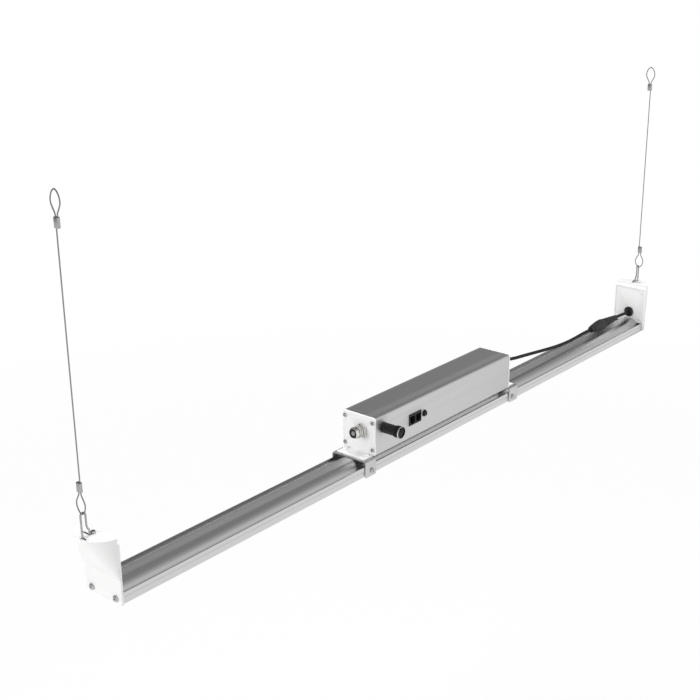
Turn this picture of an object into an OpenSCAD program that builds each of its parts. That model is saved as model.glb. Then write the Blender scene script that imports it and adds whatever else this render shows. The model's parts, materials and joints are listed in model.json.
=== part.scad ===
// Hanging LED grow light bar: an aluminium profile with moulded end caps, a driver box
// carried on straps, an output lead with an inline connector, and two wire ropes.
// X runs along the bar, -Y is the side with the controls, and +Z is up. The origin is
// midway between the eyes at the tops of the two ropes, where ceiling hooks carry them.
// The modules are drawn with z = 0 at the underside of the bar, and hung() moves them.

/* [Bar] */
// Length of the bar's profile
bar_l = 1154; // [900:1:2400]
// Width of the bar's profile
bar_w = 54; // [50:0.5:70]
// Height of the side rails
rail_h = 12.9; // [11.5:0.1:15]
// Thickness of the side rails at the foot
rail_t = 1.8; // [1.6:0.1:2.4]
// Set-back of the upper part of each rail's outer face
rail_step = 0.4; // [0.2:0.1:0.6]
// Height of the trough floors beside the dome
trough_z = 9; // [8.5:0.1:10]
// Width of each trough
trough_w = 6; // [5:0.1:7]
// Height of the flat crown of the dome
crown_h = 18.8; // [17:0.1:24]
// Width of the flat crown
crown_w = 11.4; // [6:0.1:14]
// Wall of the dome
dome_wall = 1.6; // [1.2:0.1:2.2]
// Thickness of the web that carries the board
web_t = 1.6; // [1.2:0.1:1.8]
// Wall round each screw port
port_wall = 1.2; // [0.8:0.1:1.6]
// Gap between a screw port and the rail
port_gap = 2.5; // [2:0.1:3.5]

/* [Light board and lens] */
// Thickness of the light board
board_t = 1.6; // [1:0.1:2]
// Side of one light chip
chip_w = 3; // [2:0.1:4]
// Thickness of one light chip
chip_t = 0.7; // [0.4:0.1:1]
// Number of light chips along a row
chip_count = 36; // [12:1:40]
// Distance between the two rows of chips
chip_row_gap = 14; // [10:0.5:20]
// Thickness of the lens cover
lens_t = 1.5; // [1.2:0.1:1.8]
// Height of the lens above the feet of the rails
lens_z = 0.8; // [0.5:0.1:1]
// Depth of the lens grooves in the rails
groove_d = 0.9; // [0.6:0.1:1]
// Height of the two ribs on the lens
lens_rib_h = 1; // [0.6:0.1:1.2]
// Thickness of the two ribs on the lens
lens_rib_t = 1.2; // [0.8:0.1:1.6]

/* [End caps] */
// Height of the end caps
cap_h = 79.4; // [70:0.1:100]
// How far a cap stands out beside the bar
cap_overhang = 2.4; // [1.5:0.1:4]
// Thickness of a cap's flat plate
cap_plate_t = 4.3; // [4:0.1:5.5]
// Height of a cap's flat plate
cap_plate_h = 75.7; // [68:0.1:76]
// Radius of the upper corners of the plate
cap_plate_r = 6; // [3:0.5:8]
// Radius of the round edge of the plate's inner face
cap_edge_r = 3.5; // [1.5:0.1:3.8]
// Height where a cap's body starts to swell out of its plate
cap_flat_h = 30; // [26:0.5:36]
// Thickness of the straight band under a cap's top face
cap_band_h = 2; // [1:0.5:4]
// Wall of a cap
cap_wall = 2.4; // [1.8:0.1:2.8]
// Thickness of a cap's top
cap_top_t = 6; // [5.8:0.1:8]
// Width of the rim round a cap's inner cover
cap_rim = 3; // [2.5:0.1:4]
// Thickness of a cap's inner cover
cover_t = 1.5; // [1.2:0.1:1.8]
// Depth of the inner cover below the rim
cover_sink = 0.7; // [0.3:0.1:1]
// Height of the lower edge of the inner cover
cover_z = 22; // [21.5:0.1:23.5]
// Corner radius of the inner cover
cover_r = 4; // [2:0.5:6]
// Diameter of the small blind hole under an inner cover
pilot_d = 2.8; // [1.5:0.1:3]
// Depth of the small blind hole
pilot_depth = 2; // [1:0.1:3]
// Height of the small blind hole above the bar's underside
pilot_z = 16.6; // [15.5:0.1:18]
// Thickness of the rubber gasket between cap and bar
gasket_t = 1; // [0.6:0.1:1.4]
// Margin between the gasket and the profile's outline
gasket_margin = 1; // [0.6:0.1:1.5]

/* [Screws] */
// Shank diameter of the cap, saddle and end plate screws
screw_d = 3.5; // [3:0.1:4]
// Head diameter of the saddle and foot screws
head_d = 6.6; // [6:0.1:7.2]
// Head diameter of the end cap screws
cap_head_d = 7.6; // [6.4:0.1:8]
// Head diameter of the end plate screws
plate_head_d = 5.4; // [5:0.1:6.6]
// Height of all those heads
head_h = 2.4; // [2:0.1:2.8]
// Length of an end cap screw under its head
cap_screw_l = 22; // [14:0.5:30]
// Length of a saddle screw under its head
saddle_screw_l = 5; // [4.5:0.1:5.2]
// Length of an end plate screw under its head
plate_screw_l = 14; // [8:0.5:20]
// Shank diameter of the cover screws
small_screw_d = 2; // [1.6:0.1:2.4]
// Head diameter of the cover screws
small_head_d = 3.8; // [3.4:0.1:4.2]
// Head height of the cover screws
small_head_h = 0.6; // [0.4:0.1:0.8]
// Length of a cover screw under its head
small_screw_l = 6; // [5:0.5:8]
// Shank diameter of a hook's screw
hook_screw_d = 3; // [2.6:0.1:3.2]
// Length of a hook's screw under its head
hook_screw_l = 5; // [4:0.1:5.4]
// Head diameter of a hook's screw
hook_head_d = 6; // [5.6:0.1:6.4]
// Head height of a hook's screw
hook_head_h = 3; // [2.4:0.1:3.4]

/* [Saddles] */
// Thickness of the saddles' sheet
strap_t = 1.5; // [1.2:0.1:2]
// Length of a saddle along the bar
strap_l = 21; // [19:0.5:26]
// How far the flanges reach below the bar
flange_drop = 2.2; // [1:0.1:4]
// Inner bend radius of a saddle
strap_bend = 1.5; // [1:0.1:2]
// Height of the flange screws above the bar's underside
flange_screw_z = 5.2; // [4.8:0.1:5.6]
// Distance from a saddle's inner edge to its flange screws
flange_screw_in = 8.2; // [7:0.1:10]
// Distance from a saddle's inner edge to its foot screws
foot_screw_in = 6.6; // [6:0.1:9]
// Distance between the two foot screws
foot_screw_gap = 36; // [30:0.5:38]
// Thickness of the nuts under a saddle
nut_t = 2.4; // [1.8:0.1:3]
// Width across the flats of those nuts
nut_af = 5.5; // [5:0.1:6.5]

/* [Driver box] */
// Length of the driver box over its end plates
box_l = 314.8; // [300:0.2:400]
// Width of the driver box
box_w = 54; // [52:0.5:60]
// Height of the driver box
box_h = 51.8; // [50:0.2:56]
// Wall of the driver box
box_wall = 2; // [1.6:0.1:2.4]
// Radius of the box's long upper edges
box_top_r = 3; // [1.5:0.1:4]
// Radius of the box's long lower edges
box_low_r = 1; // [0.5:0.1:1.5]
// Thickness of the end plates
plate_t = 2; // [1.5:0.1:2.5]
// Thickness of the end plates' feet
foot_t = 1.5; // [1:0.1:2]
// Length of the end plates' feet
foot_l = 18; // [14:0.5:18.5]
// Width of the end plates' feet
foot_w = 46; // [44:0.5:50]
// Distance of the corner screws from the sides of the box
corner_in_y = 3.8; // [3.7:0.1:4.4]
// Distance of the corner screws from the top and bottom of the box
corner_in_z = 7; // [5:0.1:7.5]
// Wall round each corner port
corner_wall = 1.2; // [0.8:0.1:1.4]
// Thickness of the control board
control_board_t = 1.6; // [1:0.1:2]
// Distance of the control board from the outer front face
board_in_y = 14; // [13.5:0.1:15]
// Height of the control board
control_board_h = 44; // [40:0.5:45]
// Distance between the control board and the power module
module_gap = 18; // [10:0.5:40]
// Width of the power module
module_w = 38; // [30:0.5:39]
// Height of the power module
module_h = 38; // [30:0.5:42]

/* [Controls] */
// Distance of the dimmer from the left end of the box
dimmer_in = 17.4; // [15.4:0.1:27.4]
// Height of the dimmer above the bar's underside
dimmer_z = 56.6; // [54:0.1:57]
// Gap between the dimmer knob and the box
knob_gap = 0.6; // [0.4:0.1:1]
// Length of the plain part of the knob
knob_body_l = 20.8; // [16:0.1:24]
// Length of the ribbed grip
knob_grip_l = 8.4; // [6:0.1:10]
// Diameter of the plain part of the knob
knob_d = 14; // [13:0.1:15]
// Diameter over the ribs of the grip
knob_grip_d = 16; // [15.4:0.1:18]
// Number of ribs on the grip
knob_ribs = 24; // [12:1:30]
// Width of the bright ring in the knob's end
ring_w = 1.2; // [0.8:0.1:1.6]
// Depth of the bright ring
ring_l = 1.5; // [1:0.1:2]
// Depth of the recess in the knob's end
knob_recess = 1; // [0.6:0.1:1.4]
// Diameter of the dimmer shaft
shaft_d = 6; // [5:0.1:6.4]
// Depth of the shaft in the knob
shaft_grip_l = 22; // [16:0.5:24]
// Thread diameter of the dimmer's bush
bush_d = 8.4; // [8:0.1:9]
// Length of the dimmer's bush past the inner wall
bush_l = 6; // [5:0.1:7]
// Width across the flats of the bush nut
bush_nut_af = 10; // [9.6:0.1:10.2]
// Thickness of the bush nut
bush_nut_t = 2; // [1.5:0.1:2.5]
// Body diameter of the potentiometer
pot_d = 12.6; // [11:0.1:13]
// Distance of the sockets' middle from the left end of the box
jack_in = 85.3; // [81.4:0.1:87.4]
// Height of the sockets' middle above the bar's underside
jack_z = 47.6; // [46:0.1:50]
// Width of the twin socket block
jack_w = 26; // [25:0.1:28]
// Height of the twin socket block
jack_h = 15.8; // [15:0.1:17]
// How far the socket block stands out of the box
jack_proud = 0.8; // [0.4:0.1:1.5]
// Width of one socket's cavity
cavity_w = 10.4; // [9.6:0.1:10.8]
// Height of one socket's cavity
cavity_h = 9.4; // [8.6:0.1:10]
// Depth of one socket's cavity
cavity_d = 11; // [9:0.1:12]
// Wall between the two cavities
cavity_gap = 2.4; // [2:0.1:3]
// Width of the latch notch in a socket
latch_w = 4; // [3:0.1:5]
// Depth of the latch notch
latch_h = 1.8; // [1:0.1:2]
// Number of contact strips in a socket
contact_count = 6; // [4:1:8]
// Width of a contact strip
contact_w = 0.5; // [0.3:0.1:0.6]
// Thickness of a contact strip
contact_t = 0.6; // [0.4:0.1:0.8]
// Distance of the push button from the left end of the box
button_in = 106; // [104.4:0.1:107.4]
// Height of the push button above the bar's underside
button_z = 47.8; // [46:0.1:50]
// Diameter of the push button
button_d = 7; // [6:0.1:7.2]
// Outer diameter of the button's collar
collar_d = 9.4; // [9.2:0.1:10]
// How far the collar stands out of the box
collar_h = 1.2; // [0.8:0.1:2]
// How far the button stands out of its collar
button_proud = 1.6; // [1.5:0.1:2.5]
// Travel of the push button
button_travel = 1.2; // [0.8:0.1:1.3]
// Thickness of the button's inner flange
button_flange_t = 1; // [0.8:0.1:1.4]
// Side of the switch behind the button
switch_w = 6; // [5:0.1:7]
// Depth of the switch behind the button
switch_t = 4; // [3.5:0.1:4.5]

/* [Glands] */
// Place of the mains gland across the bar
gland_y = -4.5; // [-6:0.1:-2]
// Height of the mains gland above the bar's underside
gland_z = 53; // [50:0.1:54]
// Bore of the mains gland
gland_bore = 8; // [7:0.1:8.4]
// Thread diameter of the mains gland
gland_thread_d = 12; // [11.6:0.1:12.6]
// Width across the flats of the gland's base
gland_base_af = 17; // [16:0.1:18]
// Thickness of the gland's base
gland_base_t = 4; // [3:0.1:5]
// Length of the gland outside the box
gland_l = 18.4; // [16:0.1:20]
// Diameter of the gland nut at its wide end
gland_nut_d = 15.6; // [15:0.1:16.4]
// Diameter of the gland nut at its mouth
gland_mouth_d = 10.6; // [10.4:0.1:11.5]
// Length of the gland's thread inside the box
gland_tail_l = 6; // [4.5:0.1:7]
// Thickness of the gland's lock nut
locknut_t = 3; // [2:0.1:3.5]
// Height of the output lead's strain relief above the bar's underside
relief_z = 49.5; // [48:0.1:52]
// Length of the strain relief outside the box
relief_l = 22.6; // [16:0.1:26]
// Diameter of the strain relief at the box
relief_d = 11; // [10:0.1:13]
// Flange diameter of the strain relief
relief_flange_d = 15; // [14:0.1:17]
// Flange thickness of the strain relief
relief_flange_t = 2; // [1.5:0.1:2.5]

/* [Output lead] */
// Diameter of the output lead
lead_d = 5; // [4.5:0.1:5.5]
// Place of the connector's left end along the bar
conn_x = 440; // [430:1:450]
// Place of the connector across the bar
conn_y = 3.5; // [2:0.1:4]
// Length of the connector's left tail
tail_l = 15; // [12:0.5:18]
// Length of the connector's ring nut
ring_nut_l = 40; // [34:0.5:44]
// Outer diameter of the connector's ring nut
ring_nut_d = 18.6; // [18:0.1:19.4]
// Number of grip ribs on the ring nut
ring_nut_ribs = 20; // [12:1:24]
// Length of the connector's ribbed right end
boot_l = 41; // [36:0.5:46]
// Number of ribs on the right end
boot_ribs = 6; // [4:1:8]
// Diameter of both tails at the lead
tail_small_d = 9; // [8:0.1:10]
// Diameter of both tails at the ring nut
tail_big_d = 14; // [13.6:0.1:14.4]
// Diameter of the grommet's flange
grommet_d = 17; // [15:0.1:18]
// Height of the grommet above the bar's underside
grommet_z = 29.5; // [29:0.1:30]
// Thickness of the grommet's flange
grommet_t = 4.2; // [3:0.1:5]
// Neck diameter of the grommet
grommet_neck_d = 10; // [8:0.1:11]

/* [Suspension] */
// Height of the ropes' eyes above the bar's underside
eye_z = 442.5; // [380:0.5:700]
// Diameter of the ropes
rope_d = 1.5; // [1.2:0.1:1.8]
// Diameter of the hooks' wire
wire_d = 2.3; // [2:0.1:2.5]
// Distance between the two legs of a hook
bail_w = 7.2; // [7:0.1:8]
// Height of a hook above the end cap
bail_h = 28.6; // [24:0.1:34]
// Distance of a hook's middle from the inner face of the cap
bail_out = 22.3; // [21:0.1:23]
// Distance of the inner foot from the inner face of the cap
inner_foot_out = 16; // [15.8:0.1:16.6]
// Length of a hook's inner foot
inner_foot_l = 10.6; // [8:0.1:12]
// Length of a hook's outer foot
outer_foot_l = 7; // [6:0.1:9]
// Height above the cap where the inner leg turns inward
jog_top = 10.6; // [9:0.1:14]
// Height above the cap where the inner leg is upright again
jog_low = 5; // [4.5:0.1:7]
// Bend radius of the feet
foot_bend = 2.5; // [2.2:0.1:3]
// Distance of the hook's screw from the inner face of the cap
hook_screw_out = 11.4; // [10.8:0.1:11.6]
// Width of the rope's lower eye, at the middle of the rope
low_eye_w = 13; // [11:0.1:15]
// Width of the rope's upper eye, at the middle of the rope
top_eye_w = 14.5; // [12:0.1:17]
// Height of the lower ferrules' underside above the bar's underside
low_ferrule_z = 130; // [126:0.5:134]
// Distance from the upper ferrules' top to the eyes
top_ferrule_drop = 27.5; // [24:0.1:30]
// Length of a ferrule
ferrule_l = 11.5; // [9:0.1:13]
// Width of a ferrule across both strands
ferrule_w = 8; // [7:0.1:9]
// Thickness of a ferrule
ferrule_t = 4; // [3.6:0.1:4.6]

/* [Hidden] */

// Overrun of every cut
over = 1;
// Clearance round a screw's shank and in a running fit
fit = 0.08;
// Clearance between neighbours that don't touch
clear = 0.3;
// Clearance of a flat part in its groove or recess
slip = 0.2;
// Facets of round outlines, small and tiny ones, and swept wires
fine = 64;
small = 32;
tiny = 16;
cord_sides = 10;
rope_sides = 8;

// The two ends and the two sides, as signs
BOTH = [-1, 1];

// Bar profile
rail_in = bar_w / 2 - rail_t;
dome_foot = rail_in - trough_w;
crown_half = crown_w / 2;
dome_cz = (pow(dome_foot, 2) + pow(trough_z, 2) - pow(crown_half, 2) - pow(crown_h, 2))
    / (2 * (trough_z - crown_h));
dome_r = norm([crown_half, crown_h - dome_cz]);
rail_step_share = 0.6;
port_d = screw_d + 2 * fit;
port_r = port_d / 2 + port_wall;
port_y = rail_in - port_gap - port_r;
port_z = trough_z - port_r;
web_z = port_z + port_wall / 2;
board_w = 2 * (port_y - port_r - clear);
chip_pitch = bar_l / chip_count;
lens_w = 2 * (rail_in + groove_d - slip);
lens_rib_y = rail_in - slip - lens_rib_t / 2;

// End caps
cap_w = bar_w + 2 * cap_overhang;
cap_r = cap_w / 2;
cap_slant = (cap_r - cap_plate_t) / (cap_h - cap_band_h - cap_flat_h);
cap_skin = cap_wall * norm([1, cap_slant]);
cavity_top_z = cap_h - cap_top_t;
cavity_top_r = cap_plate_t + (cavity_top_z - cap_flat_h) * cap_slant - cap_skin;
cover_back = cover_sink + cover_t;
cavity_low_z = cap_flat_h + (cover_back + cap_skin - cap_plate_t) / cap_slant;
cover_w = cap_w - 2 * cap_rim;
cover_h = cap_plate_h - cap_rim - cover_z;
cover_screw_y = -cover_w / 2 + cover_r + small_head_d / 2;
cover_screw_z = cap_plate_h - cap_rim - cover_r - small_head_d / 2;
gasket_w = bar_w - 2 * gasket_margin;
gasket_h = rail_h - 2 * gasket_margin;
// How far the grommet's neck reaches past the inner cover
neck_past = 0.8;
// Radius of the grommet's seat, which clears the lower edge of the inner cover
seat_r = grommet_z - cover_z;
boss_r = small_screw_d / 2 + cap_wall / 2;
// Flat crown of the grommet over its radius, and its straight edge over its thickness
crown_share = 0.7;
edge_share = 0.4;

// Driver box
strap_top = crown_h + strap_t;
box_z = strap_top + foot_t;
box_end = box_l / 2;
flange_screw_x = box_end + flange_screw_in;
foot_screw_x = box_end + foot_screw_in;
corner_y = box_w / 2 - corner_in_y;
corner_z = [box_z + corner_in_z, box_z + box_h - corner_in_z];
front_y = -box_w / 2;
front_in_y = front_y + box_wall;
board_y = front_y + board_in_y;
floor_z = box_z + box_wall;
dimmer_x = dimmer_in - box_end;
jack_x = jack_in - box_end;
button_x = button_in - box_end;
board_x = [-box_end + plate_t + locknut_t + 2 * clear, button_x + switch_w + clear];
module_x = [board_x[1] + module_gap, box_end - plate_t - relief_flange_t - 2 * clear];

// Controls
knob_bore_d = shaft_d + 2 * fit;
bush_nut_r = bush_nut_af / 2 / cos(30);
nut_pocket_r = bush_nut_r + clear;
// Depth of the grooves between the ribs of the grip
rib_depth = (knob_grip_d - knob_d) / 3;
// Outer radius of the bright ring in the knob's end
ring_r = (knob_grip_d + knob_d) / 4 - rib_depth;
// Rear end of the dimmer's shaft, behind the front face
shaft_rear = -box_wall - bush_l / 2;
cavity_step = (cavity_w + cavity_gap) / 2;
// Length of a contact strip over the depth of its socket
contact_share = 0.8;
button_hole_d = button_d + 2 * fit;
barrel_d = (button_hole_d + collar_d) / 2;
barrel_l = box_wall + clear;
switch_face_y = board_y - switch_t;
button_back_y = switch_face_y - clear - button_travel;
button_front_y = front_y - collar_h - button_proud;
button_flange_d = barrel_d - fit;

// Glands
gland_wall_step = (gland_thread_d - gland_bore) / 2;
seal_r = gland_thread_d / 2;
gland_hole_d = gland_thread_d + 2 * fit;
barrel_out = gland_l / 2;

// Connector: lip inside the ring nut, wall of the plug's body round its nose, and plain
// edges of the ring nut
nut_lip = 1;
nose_wall = 2;
grip_edge = 3;
ring_nut_r = ring_nut_d / 2;
// Radius of the grooves between the ring nut's ribs over the lip
groove_share = 0.8;
// Width of a rib on the boot over its pitch, and its radius at the root over the tip
rib_share = 0.6;
root_share = 0.86;

// Output lead, at the middle of the lead. The connector lies on the bar's crown.
conn_z = crown_h + ring_nut_d / 2 + slip;
lead_route = [
    [180, 0, 49.5], [186, 0, 49.5], [193, 0, 49], [203, 0, 47.5], [216, 0, 45.4],
    [232, 0, 43.5], [250, 0, 41.3], [268, 0, 39.1], [286, 0, 36.8], [304, 0, 34.6],
    [322, 0, 32.6], [340, 0.2, 30.8], [358, 0.6, 29.4], [376, 1.2, 28.4],
    [394, 2, 28], [410, 2.8, 28], [424, 3.3, 28.2], [434, 3.5, 28.3], [440, 3.5, 28.3]
];
bar_lead_route = [
    [536, 3.5, 28.3], [538, 3.5, 28.3], [541, 3.4, 28.3], [544, 3.1, 28.4],
    [547, 2.7, 28.5], [550, 2.2, 28.7], [553, 1.7, 28.9], [556, 1.2, 29.1],
    [559, 0.8, 29.2], [562, 0.4, 29.3], [565, 0.2, 29.4], [567, 0.1, 29.5],
    [569, 0, 29.5], [571, 0, 29.5], [573.5, 0, 29.5]
];

// Suspension
bail_r = bail_w / 2;
bail_arc_z = cap_h + bail_h - wire_d / 2 - bail_r;
foot_z = cap_h - wire_d / 2;
groove_w = wire_d + 2 * slip;
rope_x = bar_l / 2 + bail_out;
strand_y = rope_d / 2 + fit / 2;
low_eye_r = low_eye_w / 2;
top_eye_r = top_eye_w / 2;
low_eye_z = bail_arc_z + bail_r - wire_d / 2 - slip - rope_d / 2 + low_eye_r;
top_eye_z = eye_z + rope_d / 2 - top_eye_r;
top_ferrule_z = eye_z - top_ferrule_drop - ferrule_l;
neck_l = 4 * rope_d;
rope_step = 20;
// Turn between two points of an eye or bail, and of a foot's bend
bend_step = 15;
foot_step = 30;

// Moves a drawn piece from the bar's underside to the eyes of the ropes.
module hung() {
    translate([0, 0, -eye_z]) children();
}

// Repeats a piece at y and -y, or at x and -x by a half turn.
module both_sides() {
    for (side = BOTH) mirror([0, side < 0 ? 1 : 0, 0]) children();
}

module both_ends() {
    for (side = BOTH) at_end(side) children();
}

module at_end(side) {
    rotate([0, 0, side < 0 ? 180 : 0]) children();
}

// Turns a shape so that its own z runs along X, -X or -Y.
module along_x() {
    rotate([0, 90, 0]) children();
}

module along_minus_x() {
    rotate([0, -90, 0]) children();
}

module along_minus_y() {
    rotate([90, 0, 0]) children();
}

// A profile in Y and Z, drawn with x as Y and y as Z, pushed out along X.
module along_bar(length) {
    rotate([90, 0, 90]) linear_extrude(length) children();
}

// A rectangle from one corner to the opposite one.
module span(low, high) {
    translate(low) square(high - low);
}

// A block from one corner to the opposite one.
module block(low, high) {
    translate(low) cube(high - low);
}

// A rectangle whose upper and lower corners are round.
module round_rect(w, h, top_r, low_r) {
    difference() {
        translate([-w / 2, 0]) square([w, h]);
        for (side = BOTH) {
            if (top_r > 0) corner_cut(side, w / 2, h, top_r, 1);
            if (low_r > 0) corner_cut(side, w / 2, 0, low_r, -1);
        }
    }
}

module corner_cut(side, half_w, z, r, up) {
    difference() {
        translate([side > 0 ? half_w - r : -half_w - over, up > 0 ? z - r : z - over])
            square([r + over, r + over]);
        translate([side * (half_w - r), z - up * r]) circle(r = r, $fn = small);
    }
}

// A ring of revolution from a list of radius and height.
module turned(outline, sides = small) {
    rotate_extrude($fn = sides) polygon(outline);
}

// A pan head screw: the head stands on z = 0 and the shank goes down.
module screw(d, l, hd, hh) {
    chamfer = hh / 3;
    turned([[0, -l], [d / 2, -l], [d / 2, 0], [hd / 2, 0], [hd / 2, hh - chamfer],
        [hd / 2 - chamfer, hh], [0, hh]]);
}

// A hexagonal nut with a round bore.
module hex_nut(af, bore, t) {
    difference() {
        cylinder(d = af / cos(30), h = t, $fn = 6);
        translate([0, 0, -over]) cylinder(d = bore, h = t + 2 * over, $fn = small);
    }
}

// Tube swept along a path, its round section carried without twist.
function unit(v) = v / norm(v);
function tangents(p) = [
    for (i = [0 : len(p) - 1]) unit(p[min(i + 1, len(p) - 1)] - p[max(i - 1, 0)])
];
function carried(n, t) = unit(n - (n * t) * t);
function normals(t, first) = [
    for (i = 0, n = carried(first, t[0]); i < len(t);
        i = i + 1, n = carried(n, t[min(i, len(t) - 1)])) n
];
function tube_points(p, t, n, r, sides) = [
    for (i = [0 : len(p) - 1], k = [0 : sides - 1])
        p[i] + r * (cos(360 * k / sides) * n[i] + sin(360 * k / sides) * cross(t[i], n[i]))
];
function tube_walls(rings, sides) = [
    for (i = [0 : rings - 2], k = [0 : sides - 1], half = [0, 1])
        let (a = i * sides + k, b = i * sides + (k + 1) % sides)
            half == 0 ? [a, a + sides, b] : [b, a + sides, b + sides]
];

module tube(path, d, sides, first) {
    t = tangents(path);
    n = normals(t, first);
    last = (len(path) - 1) * sides;
    fan = [for (k = [1 : sides - 2]) [k, k + 1]];
    polyhedron(
        points = tube_points(path, t, n, d / 2, sides),
        faces = concat(
            [for (f = fan) [0, f[0], f[1]]],
            [for (f = fan) [last, last + f[1], last + f[0]]],
            tube_walls(len(path), sides)
        )
    );
}

// Profile of the bar in Y and Z
module bar_profile() {
    difference() {
        union() {
            rails();
            port_places() circle(r = port_r, $fn = small);
            span([-port_y, web_z], [port_y, web_z + web_t]);
            dome_profile();
        }
        port_places() circle(d = port_d, $fn = small);
    }
}

module port_places() {
    for (side = BOTH) translate([side * port_y, port_z]) children();
}

// The same rectangle on both sides of the profile, from near to far of the middle
module flank_spans(near, far, low, high) {
    for (side = BOTH) translate([side > 0 ? near : -far, low]) square([far - near, high - low]);
}

module rails() {
    step_z = rail_h * rail_step_share;
    difference() {
        union() {
            flank_spans(rail_in, bar_w / 2, 0, step_z);
            flank_spans(rail_in, bar_w / 2 - rail_step, 0, rail_h);
            flank_spans(port_y, rail_in + rail_step, trough_z - web_t, trough_z);
        }
        flank_spans(rail_in - over, rail_in + groove_d, lens_z - slip / 2,
            lens_z + lens_t + slip / 2);
    }
}

module dome_profile() {
    intersection() {
        translate([0, dome_cz]) difference() {
            circle(r = dome_r, $fn = fine);
            circle(r = dome_r - dome_wall, $fn = fine);
        }
        span([-bar_w / 2, web_z], [bar_w / 2, crown_h]);
    }
}

module bar_extrusion() {
    color([0.62, 0.62, 0.63]) hung() difference() {
        translate([-bar_l / 2, 0, 0]) along_bar(bar_l) bar_profile();
        both_ends() both_sides() translate([flange_screw_x, bar_w / 2 + over, flange_screw_z])
            along_minus_y() cylinder(d = port_d, h = rail_t + 2 * over, $fn = small);
    }
}

module led_board() {
    color([0.93, 0.93, 0.9]) hung()
        block([-bar_l / 2 + clear, -board_w / 2, web_z - board_t],
            [bar_l / 2 - clear, board_w / 2, web_z]);
}

module led_chips() {
    top = web_z - board_t;
    color([0.95, 0.85, 0.35]) hung()
        for (i = [0 : chip_count - 1], row = BOTH)
            translate([-bar_l / 2 + (i + 0.5) * chip_pitch, row * chip_row_gap / 2, top - chip_t])
                translate([-chip_w / 2, -chip_w / 2, 0]) cube([chip_w, chip_w, chip_t]);
}

module lens_cover() {
    color([0.85, 0.9, 0.92]) hung()
        translate([-bar_l / 2, 0, 0]) along_bar(bar_l) {
            span([-lens_w / 2, lens_z], [lens_w / 2, lens_z + lens_t]);
            flank_spans(lens_rib_y - lens_rib_t / 2, lens_rib_y + lens_rib_t / 2,
                lens_z, lens_z + lens_t + lens_rib_h);
        }
}

module end_cap_gaskets() {
    color([0.2, 0.2, 0.2]) hung() both_ends() difference() {
        translate([bar_l / 2, 0, 0]) gasket_block(gasket_w, gasket_h, gasket_margin);
        both_sides() translate([bar_l / 2 - over, port_y, port_z])
            along_x() cylinder(d = port_d, h = gasket_t + 2 * over, $fn = small);
    }
}

module gasket_block(w, h, z) {
    translate([0, -w / 2, z]) cube([gasket_t, w, h]);
}

// End caps, drawn with x = 0 at the inner face and +X outwards
module half_disc(r, near, z, h) {
    translate([0, 0, z]) intersection() {
        cylinder(r = r, h = h, $fn = 48);
        translate([near, -r, 0]) cube([r, 2 * r, h]);
    }
}

// A strip as thick as the plate, whose two corners at the inner face are round
module edge_outline(w) {
    rotate(-90) round_rect(w, cap_plate_t, 0, cap_edge_r);
}

module cap_plate() {
    intersection() {
        along_bar(cap_plate_t) round_rect(cap_w, cap_plate_h, cap_plate_r, 0);
        linear_extrude(cap_plate_h) edge_outline(cap_w);
        translate([0, cap_r, 0]) along_minus_y()
            linear_extrude(cap_w) edge_outline(2 * cap_plate_h);
    }
}

// The body swells from a straight edge across the plate to the half disc at the top.
module cap_body() {
    near = cap_plate_t - clear;
    hull() {
        half_disc(cap_r, near, cap_h - cap_band_h, cap_band_h);
        translate([near, -cap_r, cap_flat_h]) cube([clear, cap_w, fit]);
    }
}

module cap_outer() {
    cap_plate();
    cap_body();
}

module cap_cavity() {
    w = 2 * cavity_top_r;
    translate([cover_back, 0, 0]) hull() {
        half_disc(cavity_top_r - cover_back, 0, cavity_top_z - cap_band_h, cap_band_h);
        translate([0, -w / 2 + cover_back, cavity_low_z])
            cube([fit, w - 2 * cover_back, cap_band_h]);
    }
}

module cover_plate(grow, depth) {
    translate([0, 0, cover_z - grow]) along_bar(depth)
        round_rect(cover_w + 2 * grow, cover_h + 2 * grow, cover_r, cover_r);
}

module cap_grooves() {
    translate([bail_out + bail_r, 0, 0]) foot_groove(outer_foot_l);
    translate([inner_foot_out, 0, 0]) mirror([0, 1, 0]) foot_groove(inner_foot_l);
}

module foot_groove(l) {
    block([-groove_w / 2, -groove_w / 2, cap_h - wire_d - slip],
        [groove_w / 2, l + slip, cap_h + over]);
}

module cover_boss() {
    translate([cover_back, cover_screw_y, cover_screw_z])
        along_x() cylinder(r = boss_r, h = small_screw_l, $fn = small);
}

module end_cap(with_grommet) {
    difference() {
        union() {
            difference() {
                cap_outer();
                cap_cavity();
            }
            cover_boss();
        }
        translate([-over, 0, 0]) cover_plate(slip, over + cover_back);
        translate([-over, 0, 0]) gasket_recess();
        both_sides() translate([-over, port_y, port_z])
            along_x() cylinder(d = port_d, h = cap_plate_t + 2 * over, $fn = small);
        translate([-over, -port_y, pilot_z])
            along_x() cylinder(d = pilot_d, h = pilot_depth + over, $fn = small);
        translate([cover_back - over, cover_screw_y, cover_screw_z]) along_x()
            cylinder(d = small_screw_d + 2 * fit, h = small_screw_l + over, $fn = small);
        cap_grooves();
        translate([hook_screw_out, 0, cap_h - hook_screw_l - clear])
            cylinder(d = hook_screw_d + 2 * fit, h = hook_screw_l + clear + over, $fn = small);
        if (with_grommet)
            translate([cover_back - over, 0, grommet_z]) along_x()
                cylinder(d = grommet_neck_d + 2 * slip, h = over + neck_past + fit, $fn = small);
    }
}

module gasket_recess() {
    block([0, -gasket_w / 2 - slip, gasket_margin - slip],
        [over + gasket_t, gasket_w / 2 + slip, gasket_margin + gasket_h + slip]);
}

module left_end_cap() {
    color([0.94, 0.94, 0.93]) hung() at_end(-1) translate([bar_l / 2, 0, 0]) end_cap(false);
}

module right_end_cap() {
    color([0.94, 0.94, 0.93]) hung() translate([bar_l / 2, 0, 0]) end_cap(true);
}

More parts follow.
